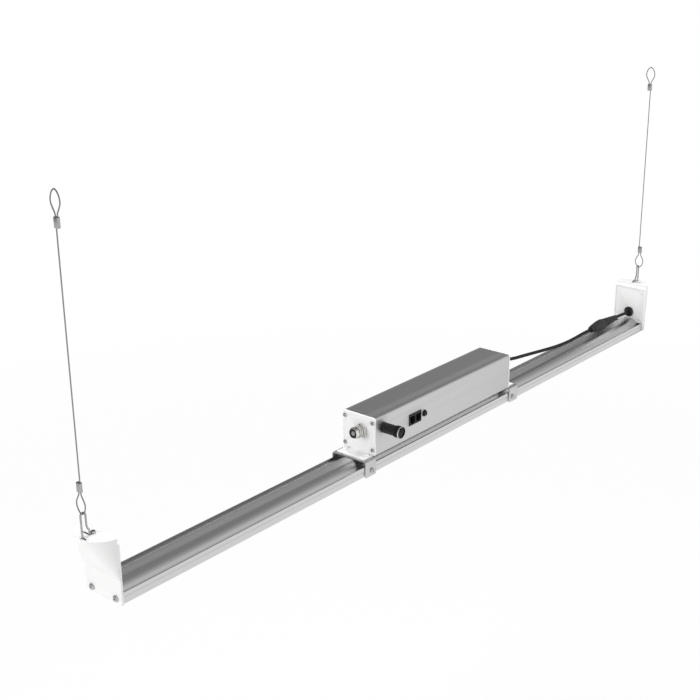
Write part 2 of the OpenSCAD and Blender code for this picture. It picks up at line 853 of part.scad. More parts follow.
module cap_cover(with_grommet) {
    difference() {
        translate([cover_sink, 0, 0]) cover_plate(0, cover_t);
        translate([0, cover_screw_y, cover_screw_z]) along_x()
            cylinder(d = small_screw_d + 2 * fit, h = cover_back + over, $fn = small);
        if (with_grommet)
            translate([0, 0, grommet_z]) along_x()
                cylinder(d = grommet_neck_d + 2 * fit, h = cover_back + over, $fn = small);
    }
}

module left_cap_cover() {
    color([0.92, 0.92, 0.91]) hung() at_end(-1) translate([bar_l / 2, 0, 0]) cap_cover(false);
}

module right_cap_cover() {
    color([0.92, 0.92, 0.91]) hung() translate([bar_l / 2, 0, 0]) cap_cover(true);
}

module cap_cover_screws() {
    color([0.92, 0.92, 0.91]) hung() both_ends()
        translate([bar_l / 2 + cover_sink, cover_screw_y, cover_screw_z]) along_minus_x()
            screw(small_screw_d, small_screw_l, small_head_d, small_head_h);
}

module end_cap_screws() {
    color([0.75, 0.75, 0.75]) hung() both_ends() both_sides()
        translate([bar_l / 2 + cap_plate_t, port_y, port_z]) along_x()
            screw(screw_d, cap_screw_l, cap_head_d, head_h);
}

// Saddles: a strap bent over the bar, with its flanges on the rails
module saddle() {
    inner_h = crown_h + flange_drop;
    difference() {
        translate([box_end, 0, -flange_drop]) along_bar(strap_l) difference() {
            round_rect(bar_w + 2 * strap_t, inner_h + strap_t, strap_bend + strap_t, 0);
            translate([0, -over])
                round_rect(bar_w, inner_h + over, strap_bend, 0);
        }
        both_sides() {
            translate([flange_screw_x, bar_w / 2 + strap_t + over, flange_screw_z])
                along_minus_y()
                    cylinder(d = port_d, h = strap_t + 2 * over, $fn = small);
            translate([foot_screw_x, foot_screw_gap / 2, crown_h - over])
                cylinder(d = port_d, h = strap_t + 2 * over, $fn = small);
        }
    }
}

module left_saddle() {
    color([0.8, 0.8, 0.8]) hung() at_end(-1) saddle();
}

module right_saddle() {
    color([0.8, 0.8, 0.8]) hung() saddle();
}

module saddle_screws() {
    color([0.75, 0.75, 0.75]) hung() both_ends() both_sides()
        translate([flange_screw_x, bar_w / 2 + strap_t, flange_screw_z]) rotate([-90, 0, 0])
            screw(screw_d, saddle_screw_l, head_d, head_h);
}

module foot_screws() {
    color([0.75, 0.75, 0.75]) hung() both_ends() both_sides()
        translate([foot_screw_x, foot_screw_gap / 2, box_z])
            screw(screw_d, foot_t + strap_t + nut_t + clear, head_d, head_h);
}

module foot_nuts() {
    color([0.75, 0.75, 0.75]) hung() both_ends() both_sides()
        translate([foot_screw_x, foot_screw_gap / 2, crown_h - nut_t])
            hex_nut(nut_af, port_d, nut_t);
}

// Driver box
module box_outline() {
    round_rect(box_w, box_h, box_top_r, box_low_r);
}

module corner_places() {
    for (side = BOTH, z = corner_z) translate([side * corner_y, z - box_z]) children();
}

module driver_housing() {
    length = box_l - 2 * plate_t;
    color([0.78, 0.78, 0.79]) hung() difference() {
        translate([-length / 2, 0, box_z]) along_bar(length) difference() {
            union() {
                difference() {
                    box_outline();
                    translate([0, box_wall])
                        round_rect(box_w - 2 * box_wall, box_h - 2 * box_wall,
                            box_top_r - box_wall / 2, 0);
                }
                intersection() {
                    corner_places() circle(d = port_d + 2 * corner_wall, $fn = small);
                    box_outline();
                }
            }
            corner_places() circle(d = port_d, $fn = small);
        }
        translate([dimmer_x, front_y - over, dimmer_z]) rotate([-90, 0, 0])
            cylinder(d = bush_d + 2 * fit, h = box_wall + 2 * over, $fn = small);
        translate([button_x, front_y - over, button_z]) rotate([-90, 0, 0])
            cylinder(d = barrel_d + 2 * fit, h = box_wall + 2 * over, $fn = small);
        block([jack_x - jack_w / 2 - slip, front_y - over, jack_z - jack_h / 2 - slip],
            [jack_x + jack_w / 2 + slip, front_in_y + over, jack_z + jack_h / 2 + slip]);
    }
}

// End plate, drawn at the right end, with its foot on the saddle
module end_plate(hole_y, hole_z, hole_d) {
    difference() {
        union() {
            translate([box_end - plate_t, 0, box_z]) along_bar(plate_t) box_outline();
            block([box_end - plate_t, -foot_w / 2, strap_top],
                [box_end + foot_l, foot_w / 2, box_z]);
            block([box_end - plate_t, -foot_w / 2, strap_top],
                [box_end, foot_w / 2, box_z + box_low_r]);
        }
        translate([box_end - plate_t - over, 0, box_z]) along_bar(plate_t + 2 * over)
            corner_places() circle(d = port_d, $fn = small);
        translate([box_end - plate_t - over, hole_y, hole_z]) along_x()
            cylinder(d = hole_d, h = plate_t + 2 * over, $fn = small);
        both_sides() translate([foot_screw_x, foot_screw_gap / 2, strap_top - over])
            cylinder(d = port_d, h = foot_t + 2 * over, $fn = small);
    }
}

module left_end_plate() {
    color([0.94, 0.94, 0.94]) hung() at_end(-1) end_plate(-gland_y, gland_z, gland_hole_d);
}

module right_end_plate() {
    color([0.94, 0.94, 0.94]) hung() end_plate(0, relief_z, relief_d + 2 * fit);
}

module end_plate_screws() {
    color([0.75, 0.75, 0.75]) hung() both_ends()
        for (side = BOTH, z = corner_z) translate([box_end, side * corner_y, z]) along_x()
            screw(screw_d, plate_screw_l, plate_head_d, head_h);
}

module driver_module() {
    color([0.3, 0.3, 0.32]) hung()
        block([module_x[0], -module_w / 2, floor_z],
            [module_x[1], module_w / 2, floor_z + module_h]);
}

module driver_board() {
    color([0.15, 0.4, 0.2]) hung()
        block([board_x[0], board_y, floor_z],
            [board_x[1], board_y + control_board_t, floor_z + control_board_h]);
}

// Mains gland, drawn with z = 0 on the left plate's outer face and +Z outwards
module at_mains_gland() {
    hung() translate([-box_end, gland_y, gland_z]) along_minus_x() children();
}

module mains_gland_body() {
    color([0.75, 0.74, 0.72]) at_mains_gland() difference() {
        union() {
            cylinder(d = gland_base_af / cos(30), h = gland_base_t, $fn = 6);
            translate([0, 0, -plate_t - gland_tail_l])
                cylinder(d = gland_thread_d, h = plate_t + gland_tail_l + barrel_out,
                    $fn = small);
        }
        translate([0, 0, -plate_t - gland_tail_l - over])
            cylinder(d = gland_bore, h = plate_t + gland_tail_l + gland_l, $fn = small);
    }
}

module mains_gland_nut() {
    wide = gland_nut_d / 2;
    mouth = gland_mouth_d / 2;
    hole = gland_bore / 2;
    thread = gland_thread_d / 2 + fit;
    seat = gland_l - gland_wall_step;
    low = gland_base_t + fit;
    color([0.75, 0.74, 0.72]) at_mains_gland() turned([
        [thread, low], [wide, low], [wide, barrel_out + gland_wall_step],
        [(wide + mouth) / 2 + gland_wall_step / 4, seat], [mouth, gland_l], [hole, gland_l],
        [hole, seat], [thread, seat]
    ], fine);
}

module mains_gland_seal() {
    color([0.1, 0.1, 0.1]) at_mains_gland() turned([
        [gland_bore / 2, barrel_out], [seal_r, barrel_out],
        [seal_r, gland_l - gland_wall_step], [gland_bore / 2, gland_l - gland_wall_step]
    ]);
}

module mains_gland_locknut() {
    color([0.75, 0.74, 0.72]) at_mains_gland() translate([0, 0, -plate_t - locknut_t])
        hex_nut(gland_base_af, gland_thread_d + 2 * fit, locknut_t);
}

// Strain relief of the output lead, drawn with z = 0 on the right plate's outer face
module lead_strain_relief() {
    flange = relief_flange_d / 2;
    neck = relief_d / 2;
    low = -plate_t - relief_flange_t;
    tip = lead_d / 2 + lead_d / 4;
    color([0.1, 0.1, 0.1]) hung() translate([box_end, 0, relief_z]) along_x() turned([
        [0, low], [flange, low], [flange, -plate_t], [neck, -plate_t], [neck, 0],
        [flange, 0], [flange, relief_flange_t], [neck, relief_flange_t],
        [tip, relief_l], [0, relief_l]
    ]);
}

// Dimmer, drawn with z = 0 on the box's front face and +Z towards the viewer
module at_dimmer() {
    hung() translate([dimmer_x, front_y, dimmer_z]) along_minus_y() children();
}

module dimmer_pot() {
    bore = shaft_d / 2 + fit;
    thread = bush_d / 2;
    body = pot_d / 2;
    top = bush_l - box_wall;
    socket = shaft_rear - clear;
    color([0.35, 0.36, 0.4]) at_dimmer() turned([
        [0, -board_in_y], [body, -board_in_y], [body, -box_wall], [thread, -box_wall],
        [thread, top], [bore, top], [bore, socket], [0, socket]
    ]);
}

module dimmer_bush_nut() {
    color([0.75, 0.75, 0.75]) at_dimmer()
        hex_nut(bush_nut_af, bush_d + 2 * fit, bush_nut_t);
}

module dimmer_shaft() {
    length = knob_gap + shaft_grip_l - shaft_rear;
    color([0.75, 0.75, 0.75]) at_dimmer() translate([0, 0, shaft_rear])
        cylinder(d = shaft_d, h = length, $fn = small);
}

module dimmer_knob() {
    length = knob_body_l + knob_grip_l;
    pocket = bush_l - box_wall + clear;
    color([0.07, 0.07, 0.07]) at_dimmer() translate([0, 0, knob_gap]) difference() {
        union() {
            cylinder(d = knob_d, h = knob_body_l, $fn = small);
            translate([0, 0, knob_body_l]) linear_extrude(knob_grip_l) grip_outline();
        }
        translate([0, 0, -over]) cylinder(r = nut_pocket_r, h = pocket + over, $fn = small);
        translate([0, 0, -over])
            cylinder(d = knob_bore_d, h = shaft_grip_l + fit + over, $fn = small);
        translate([0, 0, length - ring_l])
            cylinder(r = ring_r + fit, h = ring_l + over, $fn = small);
    }
    color([0.07, 0.07, 0.07]) at_dimmer() translate([0, 0, knob_gap]) knob_pointer(length);
}

module grip_outline() {
    difference() {
        circle(d = knob_grip_d, $fn = fine);
        for (i = [0 : knob_ribs - 1]) rotate(360 * i / knob_ribs)
            translate([knob_grip_d / 2, 0]) circle(r = rib_depth, $fn = tiny);
    }
}

module knob_pointer(length) {
    reach = ring_r - ring_w - fit;
    block([-rib_depth / 2, 0, length - ring_l], [rib_depth / 2, reach, length - knob_recess / 2]);
}

module knob_trim_ring() {
    top = knob_gap + knob_body_l + knob_grip_l;
    color([0.85, 0.85, 0.86]) at_dimmer() turned([
        [ring_r - ring_w, top - ring_l], [ring_r, top - ring_l], [ring_r, top],
        [ring_r - ring_w, top]
    ]);
}

// Twin sockets
module cavity_places() {
    for (side = BOTH) translate([jack_x + side * cavity_step, 0, jack_z]) children();
}

module control_sockets() {
    mouth_y = front_y - jack_proud;
    color([0.08, 0.08, 0.09]) hung() difference() {
        block([jack_x - jack_w / 2, mouth_y, jack_z - jack_h / 2],
            [jack_x + jack_w / 2, board_y, jack_z + jack_h / 2]);
        cavity_places() {
            block([-cavity_w / 2, mouth_y - over, -cavity_h / 2],
                [cavity_w / 2, mouth_y + cavity_d, cavity_h / 2]);
            block([-latch_w / 2, mouth_y - over, -cavity_h / 2 - latch_h],
                [latch_w / 2, mouth_y + cavity_d / 2, over - cavity_h / 2]);
        }
    }
}

module socket_contacts() {
    pitch = cavity_w / (contact_count + 2);
    back = front_y - jack_proud + cavity_d;
    color([0.85, 0.7, 0.3]) hung() cavity_places()
        for (i = [0 : contact_count - 1])
            translate([(i - (contact_count - 1) / 2) * pitch - contact_w / 2, 0, 0])
                block([0, back - cavity_d * contact_share, cavity_h / 2 - contact_t],
                    [contact_w, back, cavity_h / 2]);
}

// Push button, drawn with z = 0 on the box's front face and +Z towards the viewer
module at_button() {
    hung() translate([button_x, front_y, button_z]) along_minus_y() children();
}

module button_collar() {
    hole = button_hole_d / 2;
    color([0.12, 0.12, 0.12]) at_button() turned([
        [hole, -barrel_l], [barrel_d / 2, -barrel_l], [barrel_d / 2, 0], [collar_d / 2, 0],
        [collar_d / 2, collar_h / 2], [(collar_d + button_hole_d) / 4, collar_h],
        [hole, collar_h]
    ]);
}

module mode_button() {
    top = front_y - button_front_y;
    low = front_y - button_back_y;
    flange_top = -barrel_l - fit;
    flange_low = flange_top - button_flange_t;
    r = button_d / 2;
    stem = r / 2;
    dish = button_proud / 4;
    color([0.07, 0.07, 0.07]) at_button() turned([
        [0, low], [stem, low], [stem, flange_low], [button_flange_d / 2, flange_low],
        [button_flange_d / 2, flange_top], [r, flange_top], [r, top - dish],
        [r - dish, top], [0, top]
    ]);
}

module mode_switch() {
    color([0.2, 0.2, 0.22]) hung()
        block([button_x - switch_w / 2, switch_face_y, button_z - switch_w / 2],
            [button_x + switch_w / 2, board_y, button_z + switch_w / 2]);
}

// Output lead and its inline connector
module output_lead() {
    color([0.1, 0.1, 0.1]) hung() tube(lead_route, lead_d, cord_sides, [0, 0, 1]);
}

module bar_lead() {
    color([0.1, 0.1, 0.1]) hung() tube(bar_lead_route, lead_d, cord_sides, [0, 0, 1]);
}

// Drawn with z = 0 at the connector's left end and +Z along the bar
module at_connector() {
    hung() translate([conn_x, conn_y, conn_z]) along_x() children();
}

module connector_plug() {
    tail = tail_small_d / 2;
    body = tail_big_d / 2;
    nose = body - nose_wall;
    half = tail_l + ring_nut_l / 2;
    collar = body + nut_lip;
    lip = tail_l + 2 * nut_lip;
    color([0.1, 0.1, 0.1]) at_connector() turned([
        [0, 0], [tail, 0], [body, tail_l - nut_lip], [body, lip], [collar, lip],
        [collar, lip + nut_lip], [body, lip + nut_lip], [body, half - nut_lip],
        [nose, half - nut_lip], [nose, half + 2 * nut_lip], [0, half + 2 * nut_lip]
    ]);
}

module connector_nut() {
    hole = tail_big_d / 2 + slip;
    bore = tail_big_d / 2 + nut_lip + slip;
    lip = tail_l + 2 * nut_lip - slip;
    end = tail_l + ring_nut_l;
    color([0.12, 0.12, 0.12]) at_connector() difference() {
        union() {
            turned([[hole, tail_l], [ring_nut_r, tail_l], [ring_nut_r, tail_l + grip_edge],
                [hole, tail_l + grip_edge]], fine);
            translate([0, 0, tail_l + grip_edge])
                linear_extrude(ring_nut_l - 2 * grip_edge) nut_outline(hole);
            turned([[hole, end - grip_edge], [ring_nut_r, end - grip_edge], [ring_nut_r, end],
                [hole, end]], fine);
        }
        translate([0, 0, lip]) cylinder(r = bore, h = ring_nut_l, $fn = fine);
    }
}

module nut_outline(hole) {
    difference() {
        circle(r = ring_nut_r, $fn = fine);
        circle(r = hole, $fn = fine);
        for (i = [0 : ring_nut_ribs - 1]) rotate(360 * i / ring_nut_ribs)
            translate([ring_nut_r + nut_lip / 4, 0]) circle(r = nut_lip * groove_share, $fn = tiny);
    }
}

module connector_socket() {
    start = tail_l + ring_nut_l / 2;
    end = tail_l + ring_nut_l;
    stop = end + boot_l;
    body = tail_big_d / 2 + nut_lip - slip;
    hole = tail_big_d / 2 - nose_wall + slip;
    tail = tail_small_d / 2;
    pitch = (boot_l - 2 * nut_lip) / boot_ribs;
    deep = start + 2 * nut_lip + 2 * slip;
    color([0.1, 0.1, 0.1]) at_connector() turned(concat(
        [[0, deep], [hole, deep], [hole, start], [body, start], [body, end + nut_lip]],
        [for (i = [0 : boot_ribs - 1], step = [0, 1, 2, 3])
            let (z = end + nut_lip + (i + [0, rib_share, rib_share, 1][step]) * pitch,
                r = body + (tail - body) * (z - end) / boot_l)
                [r * (step < 2 ? 1 : root_share), z]],
        [[tail, stop - nut_lip], [tail, stop], [0, stop]]
    ));
}

module cap_grommet() {
    flange = grommet_d / 2;
    neck = grommet_neck_d / 2;
    out = grommet_t - cover_sink;
    color([0.08, 0.08, 0.08]) hung() translate([bar_l / 2, 0, grommet_z]) along_x() turned([
        [0, -out], [flange * crown_share, -out], [flange, -out * edge_share], [flange, -fit],
        [seat_r, -fit], [seat_r, cover_sink], [neck, cover_sink],
        [neck, cover_back + neck_past], [0, cover_back + neck_past]
    ]);
}

// Hooks, drawn like the end caps, with x = 0 at the cap's inner face
function arc(centre, r, from, to, a, b, step) = [
    for (i = [0 : ceil(abs(to - from) / step)])
        let (angle = from + (to - from) * i / ceil(abs(to - from) / step))
            centre + r * (cos(angle) * a + sin(angle) * b)
];

x_dir = [1, 0, 0];
y_dir = [0, 1, 0];
z_dir = [0, 0, 1];
out_x = bail_out + bail_r;
in_x = bail_out - bail_r;
hook_path = concat(
    [[out_x, outer_foot_l, foot_z]],
    arc([out_x, foot_bend, foot_z + foot_bend], foot_bend, -90, -180, y_dir, z_dir, foot_step),
    [[out_x, 0, bail_arc_z / 2 + cap_h / 2]],
    arc([bail_out, 0, bail_arc_z], bail_r, 0, 180, x_dir, z_dir, bend_step),
    [[in_x, 0, cap_h + jog_top + wire_d], [in_x, 0, cap_h + jog_top]],
    [[(in_x + inner_foot_out) / 2, 0, cap_h + (jog_top + jog_low) / 2]],
    [[inner_foot_out, 0, cap_h + jog_low]],
    arc([inner_foot_out, -foot_bend, foot_z + foot_bend], foot_bend, 0, -90, y_dir, z_dir, foot_step),
    [[inner_foot_out, -inner_foot_l, foot_z]]
);

module hook() {
    tube(hook_path, wire_d, cord_sides, x_dir);
}

module left_hook() {
    color([0.7, 0.7, 0.7]) hung() at_end(-1) translate([bar_l / 2, 0, 0]) hook();
}

module right_hook() {
    color([0.7, 0.7, 0.7]) hung() translate([bar_l / 2, 0, 0]) hook();
}

module hook_screws() {
    color([0.75, 0.75, 0.75]) hung() both_ends()
        translate([bar_l / 2 + hook_screw_out, 0, cap_h])
            screw(hook_screw_d, hook_screw_l, hook_head_d, hook_head_h);
}

// Ropes: one unbroken run through both eyes, whose ends lie in the ferrules
function eye_side(r, neck) = 90 - acos(r / neck);
low_neck = low_ferrule_z - low_eye_z;
top_neck = top_eye_z - top_ferrule_z - ferrule_l;
low_a = eye_side(low_eye_r, low_neck);
top_a = eye_side(top_eye_r, top_neck);
run_low = low_ferrule_z + ferrule_l + neck_l;
run_high = top_ferrule_z - neck_l;
run_steps = ceil((run_high - run_low) / rope_step);
rope_path = concat(
    [[0, -strand_y, low_ferrule_z + ferrule_l], [0, -strand_y, low_ferrule_z]],
    arc([0, 0, low_eye_z], low_eye_r, 180 - low_a, 360 + low_a, y_dir, z_dir, bend_step),
    [[0, strand_y, low_ferrule_z], [0, strand_y, low_ferrule_z + ferrule_l]],
    [for (i = [0 : run_steps]) [0, 0, run_low + (run_high - run_low) * i / run_steps]],
    [[0, strand_y, top_ferrule_z], [0, strand_y, top_ferrule_z + ferrule_l]],
    arc([0, 0, top_eye_z], top_eye_r, -top_a, 180 + top_a, y_dir, z_dir, bend_step),
    [[0, -strand_y, top_ferrule_z + ferrule_l], [0, -strand_y, top_ferrule_z]]
);

module rope(side) {
    hung() translate([side * rope_x, 0, 0]) tube(rope_path, rope_d, rope_sides, x_dir);
}

module left_rope() {
    color([0.55, 0.55, 0.56]) rope(-1);
}

module right_rope() {
    color([0.55, 0.55, 0.56]) rope(1);
}

// A crimped sleeve with a bore for each of the two strands
module ferrule() {
    bore = rope_d + 2 * fit;
    difference() {
        linear_extrude(ferrule_l) sleeve_outline(ferrule_w, ferrule_t);
        translate([0, 0, -over]) linear_extrude(ferrule_l + 2 * over)
            sleeve_outline(bore + 2 * strand_y, bore);
    }
}

module sleeve_outline(w, t) {
    translate([-t / 2, (t - w) / 2]) square([t, w - t]);
    for (side = BOTH) translate([0, side * (w - t) / 2]) circle(d = t, $fn = small);
}

module ferrules(side) {
    hung() for (z = [low_ferrule_z, top_ferrule_z])
        translate([side * rope_x, 0, z]) ferrule();
}

module left_ferrules() {
    color([0.6, 0.6, 0.6]) ferrules(-1);
}

module right_ferrules() {
    color([0.6, 0.6, 0.6]) ferrules(1);
}

bar_extrusion();
led_board();
led_chips();
lens_cover();
end_cap_gaskets();
left_end_cap();
right_end_cap();
left_cap_cover();
right_cap_cover();
cap_cover_screws();
end_cap_screws();
left_saddle();
right_saddle();
saddle_screws();
driver_housing();
left_end_plate();
right_end_plate();
end_plate_screws();
foot_screws();
foot_nuts();
driver_module();
driver_board();
mains_gland_body();
mains_gland_nut();
mains_gland_locknut();
mains_gland_seal();
lead_strain_relief();
dimmer_pot();
dimmer_bush_nut();
dimmer_shaft();
dimmer_knob();
knob_trim_ring();
control_sockets();
socket_contacts();
button_collar();
mode_button();
mode_switch();
output_lead();
connector_plug();
connector_nut();
connector_socket();
bar_lead();
cap_grommet();
left_hook();
right_hook();
hook_screws();
left_rope();
right_rope();
left_ferrules();
right_ferrules();
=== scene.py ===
"""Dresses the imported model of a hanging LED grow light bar: cords and ropes, rounded
edges, cross-head screws and procedural finishes, laid out as an add-on."""

import json
import math

import bpy
from bpy.props import FloatProperty, FloatVectorProperty, IntProperty, PointerProperty
from mathutils import Matrix, Vector

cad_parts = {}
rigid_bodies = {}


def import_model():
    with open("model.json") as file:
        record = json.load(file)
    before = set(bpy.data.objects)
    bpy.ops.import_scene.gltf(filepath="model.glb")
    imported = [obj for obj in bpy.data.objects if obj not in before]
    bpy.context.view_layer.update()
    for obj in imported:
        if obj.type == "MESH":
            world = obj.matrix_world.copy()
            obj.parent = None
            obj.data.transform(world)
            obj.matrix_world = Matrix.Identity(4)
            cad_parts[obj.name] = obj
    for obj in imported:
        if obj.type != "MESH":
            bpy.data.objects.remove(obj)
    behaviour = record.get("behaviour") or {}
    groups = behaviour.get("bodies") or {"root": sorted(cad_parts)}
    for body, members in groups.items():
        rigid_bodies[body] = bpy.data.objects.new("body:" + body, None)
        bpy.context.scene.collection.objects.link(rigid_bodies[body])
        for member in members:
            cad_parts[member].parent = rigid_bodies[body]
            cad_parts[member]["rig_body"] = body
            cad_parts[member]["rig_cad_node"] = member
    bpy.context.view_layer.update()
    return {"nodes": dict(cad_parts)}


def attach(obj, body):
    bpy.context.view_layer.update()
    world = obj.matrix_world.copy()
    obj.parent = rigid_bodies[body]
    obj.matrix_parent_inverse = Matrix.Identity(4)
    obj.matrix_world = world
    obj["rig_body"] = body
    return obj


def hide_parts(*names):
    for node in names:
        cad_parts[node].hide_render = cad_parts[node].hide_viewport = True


bl_info = {
    "name": "LED Grow Light Bar",
    "version": (1, 0, 0),
    "blender": (4, 5, 0),
    "location": "View3D > Sidebar > Grow Light",
    "description": "Dresses the packed model of a hanging LED grow light bar",
    "category": "Add Mesh",
}

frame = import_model()
NODES = frame["nodes"]

MM = 0.001
# Height of the rope eyes over the bar's underside, where the CAD was drawn from, in mm
EYE_Z = 442.5
# Half the distance between the inner faces of the two end caps, in mm
CAP_X = 577
# Half the distance between the two ropes, in mm
ROPE_X = 599.3
# Half the width of the driver box, in mm
BOX_Y = 27
# From the middle of the bar to the outer face of an end plate, in mm
PLATE_X = 157.4
# Where the mains gland, the dimmer and the inline connector start, in mm
GLAND_FOOT = (-PLATE_X, -4.5, 53)
KNOB_FOOT = (-140, -BOX_Y, 56.6)
CONNECTOR_FOOT = (440, 3.5, 28.3)

# Distances in m below which points of a CAD mesh and of a turned one are joined, and angle
# below which flat faces are
MERGE = 2e-6
SEAM = 1e-6
FLAT = math.radians(0.6)


def at(x, y, z):
    """A point measured in mm from the middle of the bar's underside, in the model's frame."""
    return Vector((x * MM, y * MM, (z - EYE_Z) * MM))


# Settings a user would change


class GrowBarCamera(bpy.types.PropertyGroup):
    lens: FloatProperty(name="Lens", description="Focal length", default=62.65, unit="CAMERA")
    place: FloatVectorProperty(
        name="Place", description="Place of the camera", default=(-1.2761, -0.9343, 0.2344),
        subtype="TRANSLATION", unit="LENGTH", precision=4,
    )
    yaw: FloatProperty(
        name="Yaw", description="Direction of view, turned from +X towards +Y",
        default=math.radians(40.28), unit="ROTATION",
    )
    pitch: FloatProperty(
        name="Pitch", description="How far the camera looks down",
        default=math.radians(19.474), unit="ROTATION",
    )
    roll: FloatProperty(
        name="Roll", description="Turn about the line of sight",
        default=math.radians(-0.571), unit="ROTATION",
    )


class GrowBarCords(bpy.types.PropertyGroup):
    lead: FloatProperty(
        name="Lead", description="Diameter of the output lead", default=0.005, unit="LENGTH"
    )
    rope: FloatProperty(
        name="Rope", description="Diameter of the wire ropes", default=0.0015, unit="LENGTH"
    )
    lay: FloatProperty(
        name="Lay", description="Length of one turn of the rope's strands", default=0.011,
        unit="LENGTH",
    )
    strands: IntProperty(name="Strands", description="Outer strands of a rope", default=6)


class GrowBarColours(bpy.types.PropertyGroup):
    profile: FloatVectorProperty(
        name="Profile", description="Colour of the bar's satin aluminium", subtype="COLOR",
        default=(0.69, 0.69, 0.695),
    )
    housing: FloatVectorProperty(
        name="Housing", description="Colour of the driver box's aluminium", subtype="COLOR",
        default=(0.7, 0.7, 0.705),
    )
    white: FloatVectorProperty(
        name="White", description="Colour of the moulded end caps", subtype="COLOR",
        default=(0.8, 0.8, 0.795),
    )
    paint: FloatVectorProperty(
        name="Paint", description="Colour of the painted end plates", subtype="COLOR",
        default=(0.84, 0.84, 0.84),
    )
    black: FloatVectorProperty(
        name="Black", description="Colour of the black mouldings", subtype="COLOR",
        default=(0.009, 0.009, 0.01),
    )
    cable: FloatVectorProperty(
        name="Cable", description="Colour of the leads", subtype="COLOR",
        default=(0.007, 0.007, 0.0075),
    )
    steel: FloatVectorProperty(
        name="Steel", description="Colour of the plated screws", subtype="COLOR",
        default=(0.55, 0.55, 0.55),
    )
    nickel: FloatVectorProperty(
        name="Nickel", description="Colour of the cable gland", subtype="COLOR",
        default=(0.39, 0.39, 0.388),
    )


class GrowBarRounding(bpy.types.PropertyGroup):
    moulding: FloatProperty(
        name="Moulding", description="Rounding of the moulded edges", default=0.0007,
        unit="LENGTH",
    )
    sheet: FloatProperty(
        name="Sheet", description="Rounding of the sheet metal's edges", default=0.0003,
        unit="LENGTH",
    )
    small: FloatProperty(
        name="Small", description="Rounding of small parts' edges", default=0.00015,
        unit="LENGTH",
    )


class GrowBarSettings(bpy.types.PropertyGroup):
    camera: PointerProperty(type=GrowBarCamera)
    cords: PointerProperty(type=GrowBarCords)
    colours: PointerProperty(type=GrowBarColours)
    rounding: PointerProperty(type=GrowBarRounding)


def settings():
    return bpy.context.scene.grow_bar


# Working with objects


def take(obj):
    """Makes obj the only selected and the active object."""
    bpy.ops.object.select_all(action="DESELECT")
    obj.select_set(True)
    bpy.context.view_layer.objects.active = obj


def edit(obj):
    """Goes to edit mode with all of obj selected."""
    take(obj)
    bpy.ops.object.mode_set(mode="EDIT")
    bpy.ops.mesh.select_all(action="SELECT")


def done():
    bpy.ops.object.mode_set(mode="OBJECT")


def linked(name, data):
    """A new object of that name in the scene."""
    obj = bpy.data.objects.new(name, data)
    bpy.context.scene.collection.objects.link(obj)
    return obj


def from_points(name, verts, edges, faces):
    mesh = bpy.data.meshes.new(name)
    mesh.from_pydata(verts, edges, faces)
    return linked(name, mesh)


def tube_faces(rings, count):
    """Faces of a closed tube over rings of count points, which follow one another."""
    faces = []
    for ring in range(rings - 1):
        for i in range(count):
            a, b = ring * count + i, ring * count + (i + 1) % count
            faces.append((a, b, b + count, a + count))
    last = (rings - 1) * count
    return [*faces, tuple(reversed(range(count))), tuple(range(last, last + count))]


def apply_all(obj):
    take(obj)
    for modifier in list(obj.modifiers):
        bpy.ops.object.modifier_apply(modifier=modifier.name)


def cut_out(obj, cutter):
    """Cuts the solid of cutter out of obj and removes cutter."""
    cut = obj.modifiers.new("Cut", "BOOLEAN")
    cut.operation = "DIFFERENCE"
    cut.solver = "EXACT"
    cut.object = cutter
    apply_all(obj)
    bpy.data.objects.remove(cutter)


def copied(node, name):
    """A copy of a CAD node, with its points merged and its flat faces joined."""
    obj = NODES[node].copy()
    obj.data = NODES[node].data.copy()
    obj.parent = None
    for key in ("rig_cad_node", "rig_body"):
        if key in obj:
            del obj[key]
    obj.name = obj.data.name = name
    obj.data.materials.clear()
    bpy.context.scene.collection.objects.link(obj)
    edit(obj)
    bpy.ops.mesh.remove_doubles(threshold=MERGE)
    bpy.ops.mesh.customdata_custom_splitnormals_clear()
    bpy.ops.mesh.dissolve_limited(angle_limit=FLAT)
    done()
    return obj


def smooth(obj, angle):
    """Shades obj smoothly over edges of up to an angle, in degrees."""
    take(obj)
    bpy.ops.object.shade_smooth_by_angle(angle=math.radians(angle))


def keep(node, finish):
    """Gives a CAD node that stays its finish."""
    materials = NODES[node].data.materials
    materials.clear()
    materials.append(finish)


def stand_in(obj, node, finish):
    """Puts obj in the place of a CAD node, on its body and with the given finish."""
    obj.data.materials.clear()
    obj.data.materials.append(finish)
    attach(obj, NODES[node]["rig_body"])
    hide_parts(node)


def rounded(node, name, finish, width, segments=2, angle=32):
    """Stands a copy of a CAD node in its place, with its sharp edges rounded.

    Edges sharper than the angle, in degrees, are rounded by the width, in m.
    """
    obj = copied(node, name)
    bevel = obj.modifiers.new("Edges", "BEVEL")
    bevel.width = width
    bevel.segments = segments
    bevel.limit_method = "ANGLE"
    bevel.angle_limit = math.radians(angle)
    bevel.miter_outer = "MITER_ARC"
    bevel.use_clamp_overlap = True
    apply_all(obj)
    smooth(obj, angle)
    stand_in(obj, node, finish)


# Finishes


class Tree:
    """Lays nodes and links in one node tree."""

    def __init__(self, tree):
        self.tree = tree
        self.coords = tree.nodes.new("ShaderNodeTexCoord")

    def add(self, kind, inputs=None, **values):
        node = self.tree.nodes.new("ShaderNode" + kind)
        for key, value in values.items():
            setattr(node, key, value)
        for key, value in (inputs or {}).items():
            self.set(node.inputs[key], value)
        return node

    def set(self, socket, value):
        if isinstance(value, bpy.types.NodeSocket):
            self.tree.links.new(value, socket)
        else:
            socket.default_value = value

    def math(self, kind, a, b):
        return self.add("Math", {0: a, 1: b}, operation=kind).outputs[0]

    def spread(self, value, start, stop, low=0.0, high=1.0, kind="LINEAR"):
        """Goes from low to high while value goes from start to stop."""
        return self.add("MapRange", {
            "Value": value, "From Min": start, "From Max": stop, "To Min": low, "To Max": high,
        }, interpolation_type=kind).outputs["Result"]


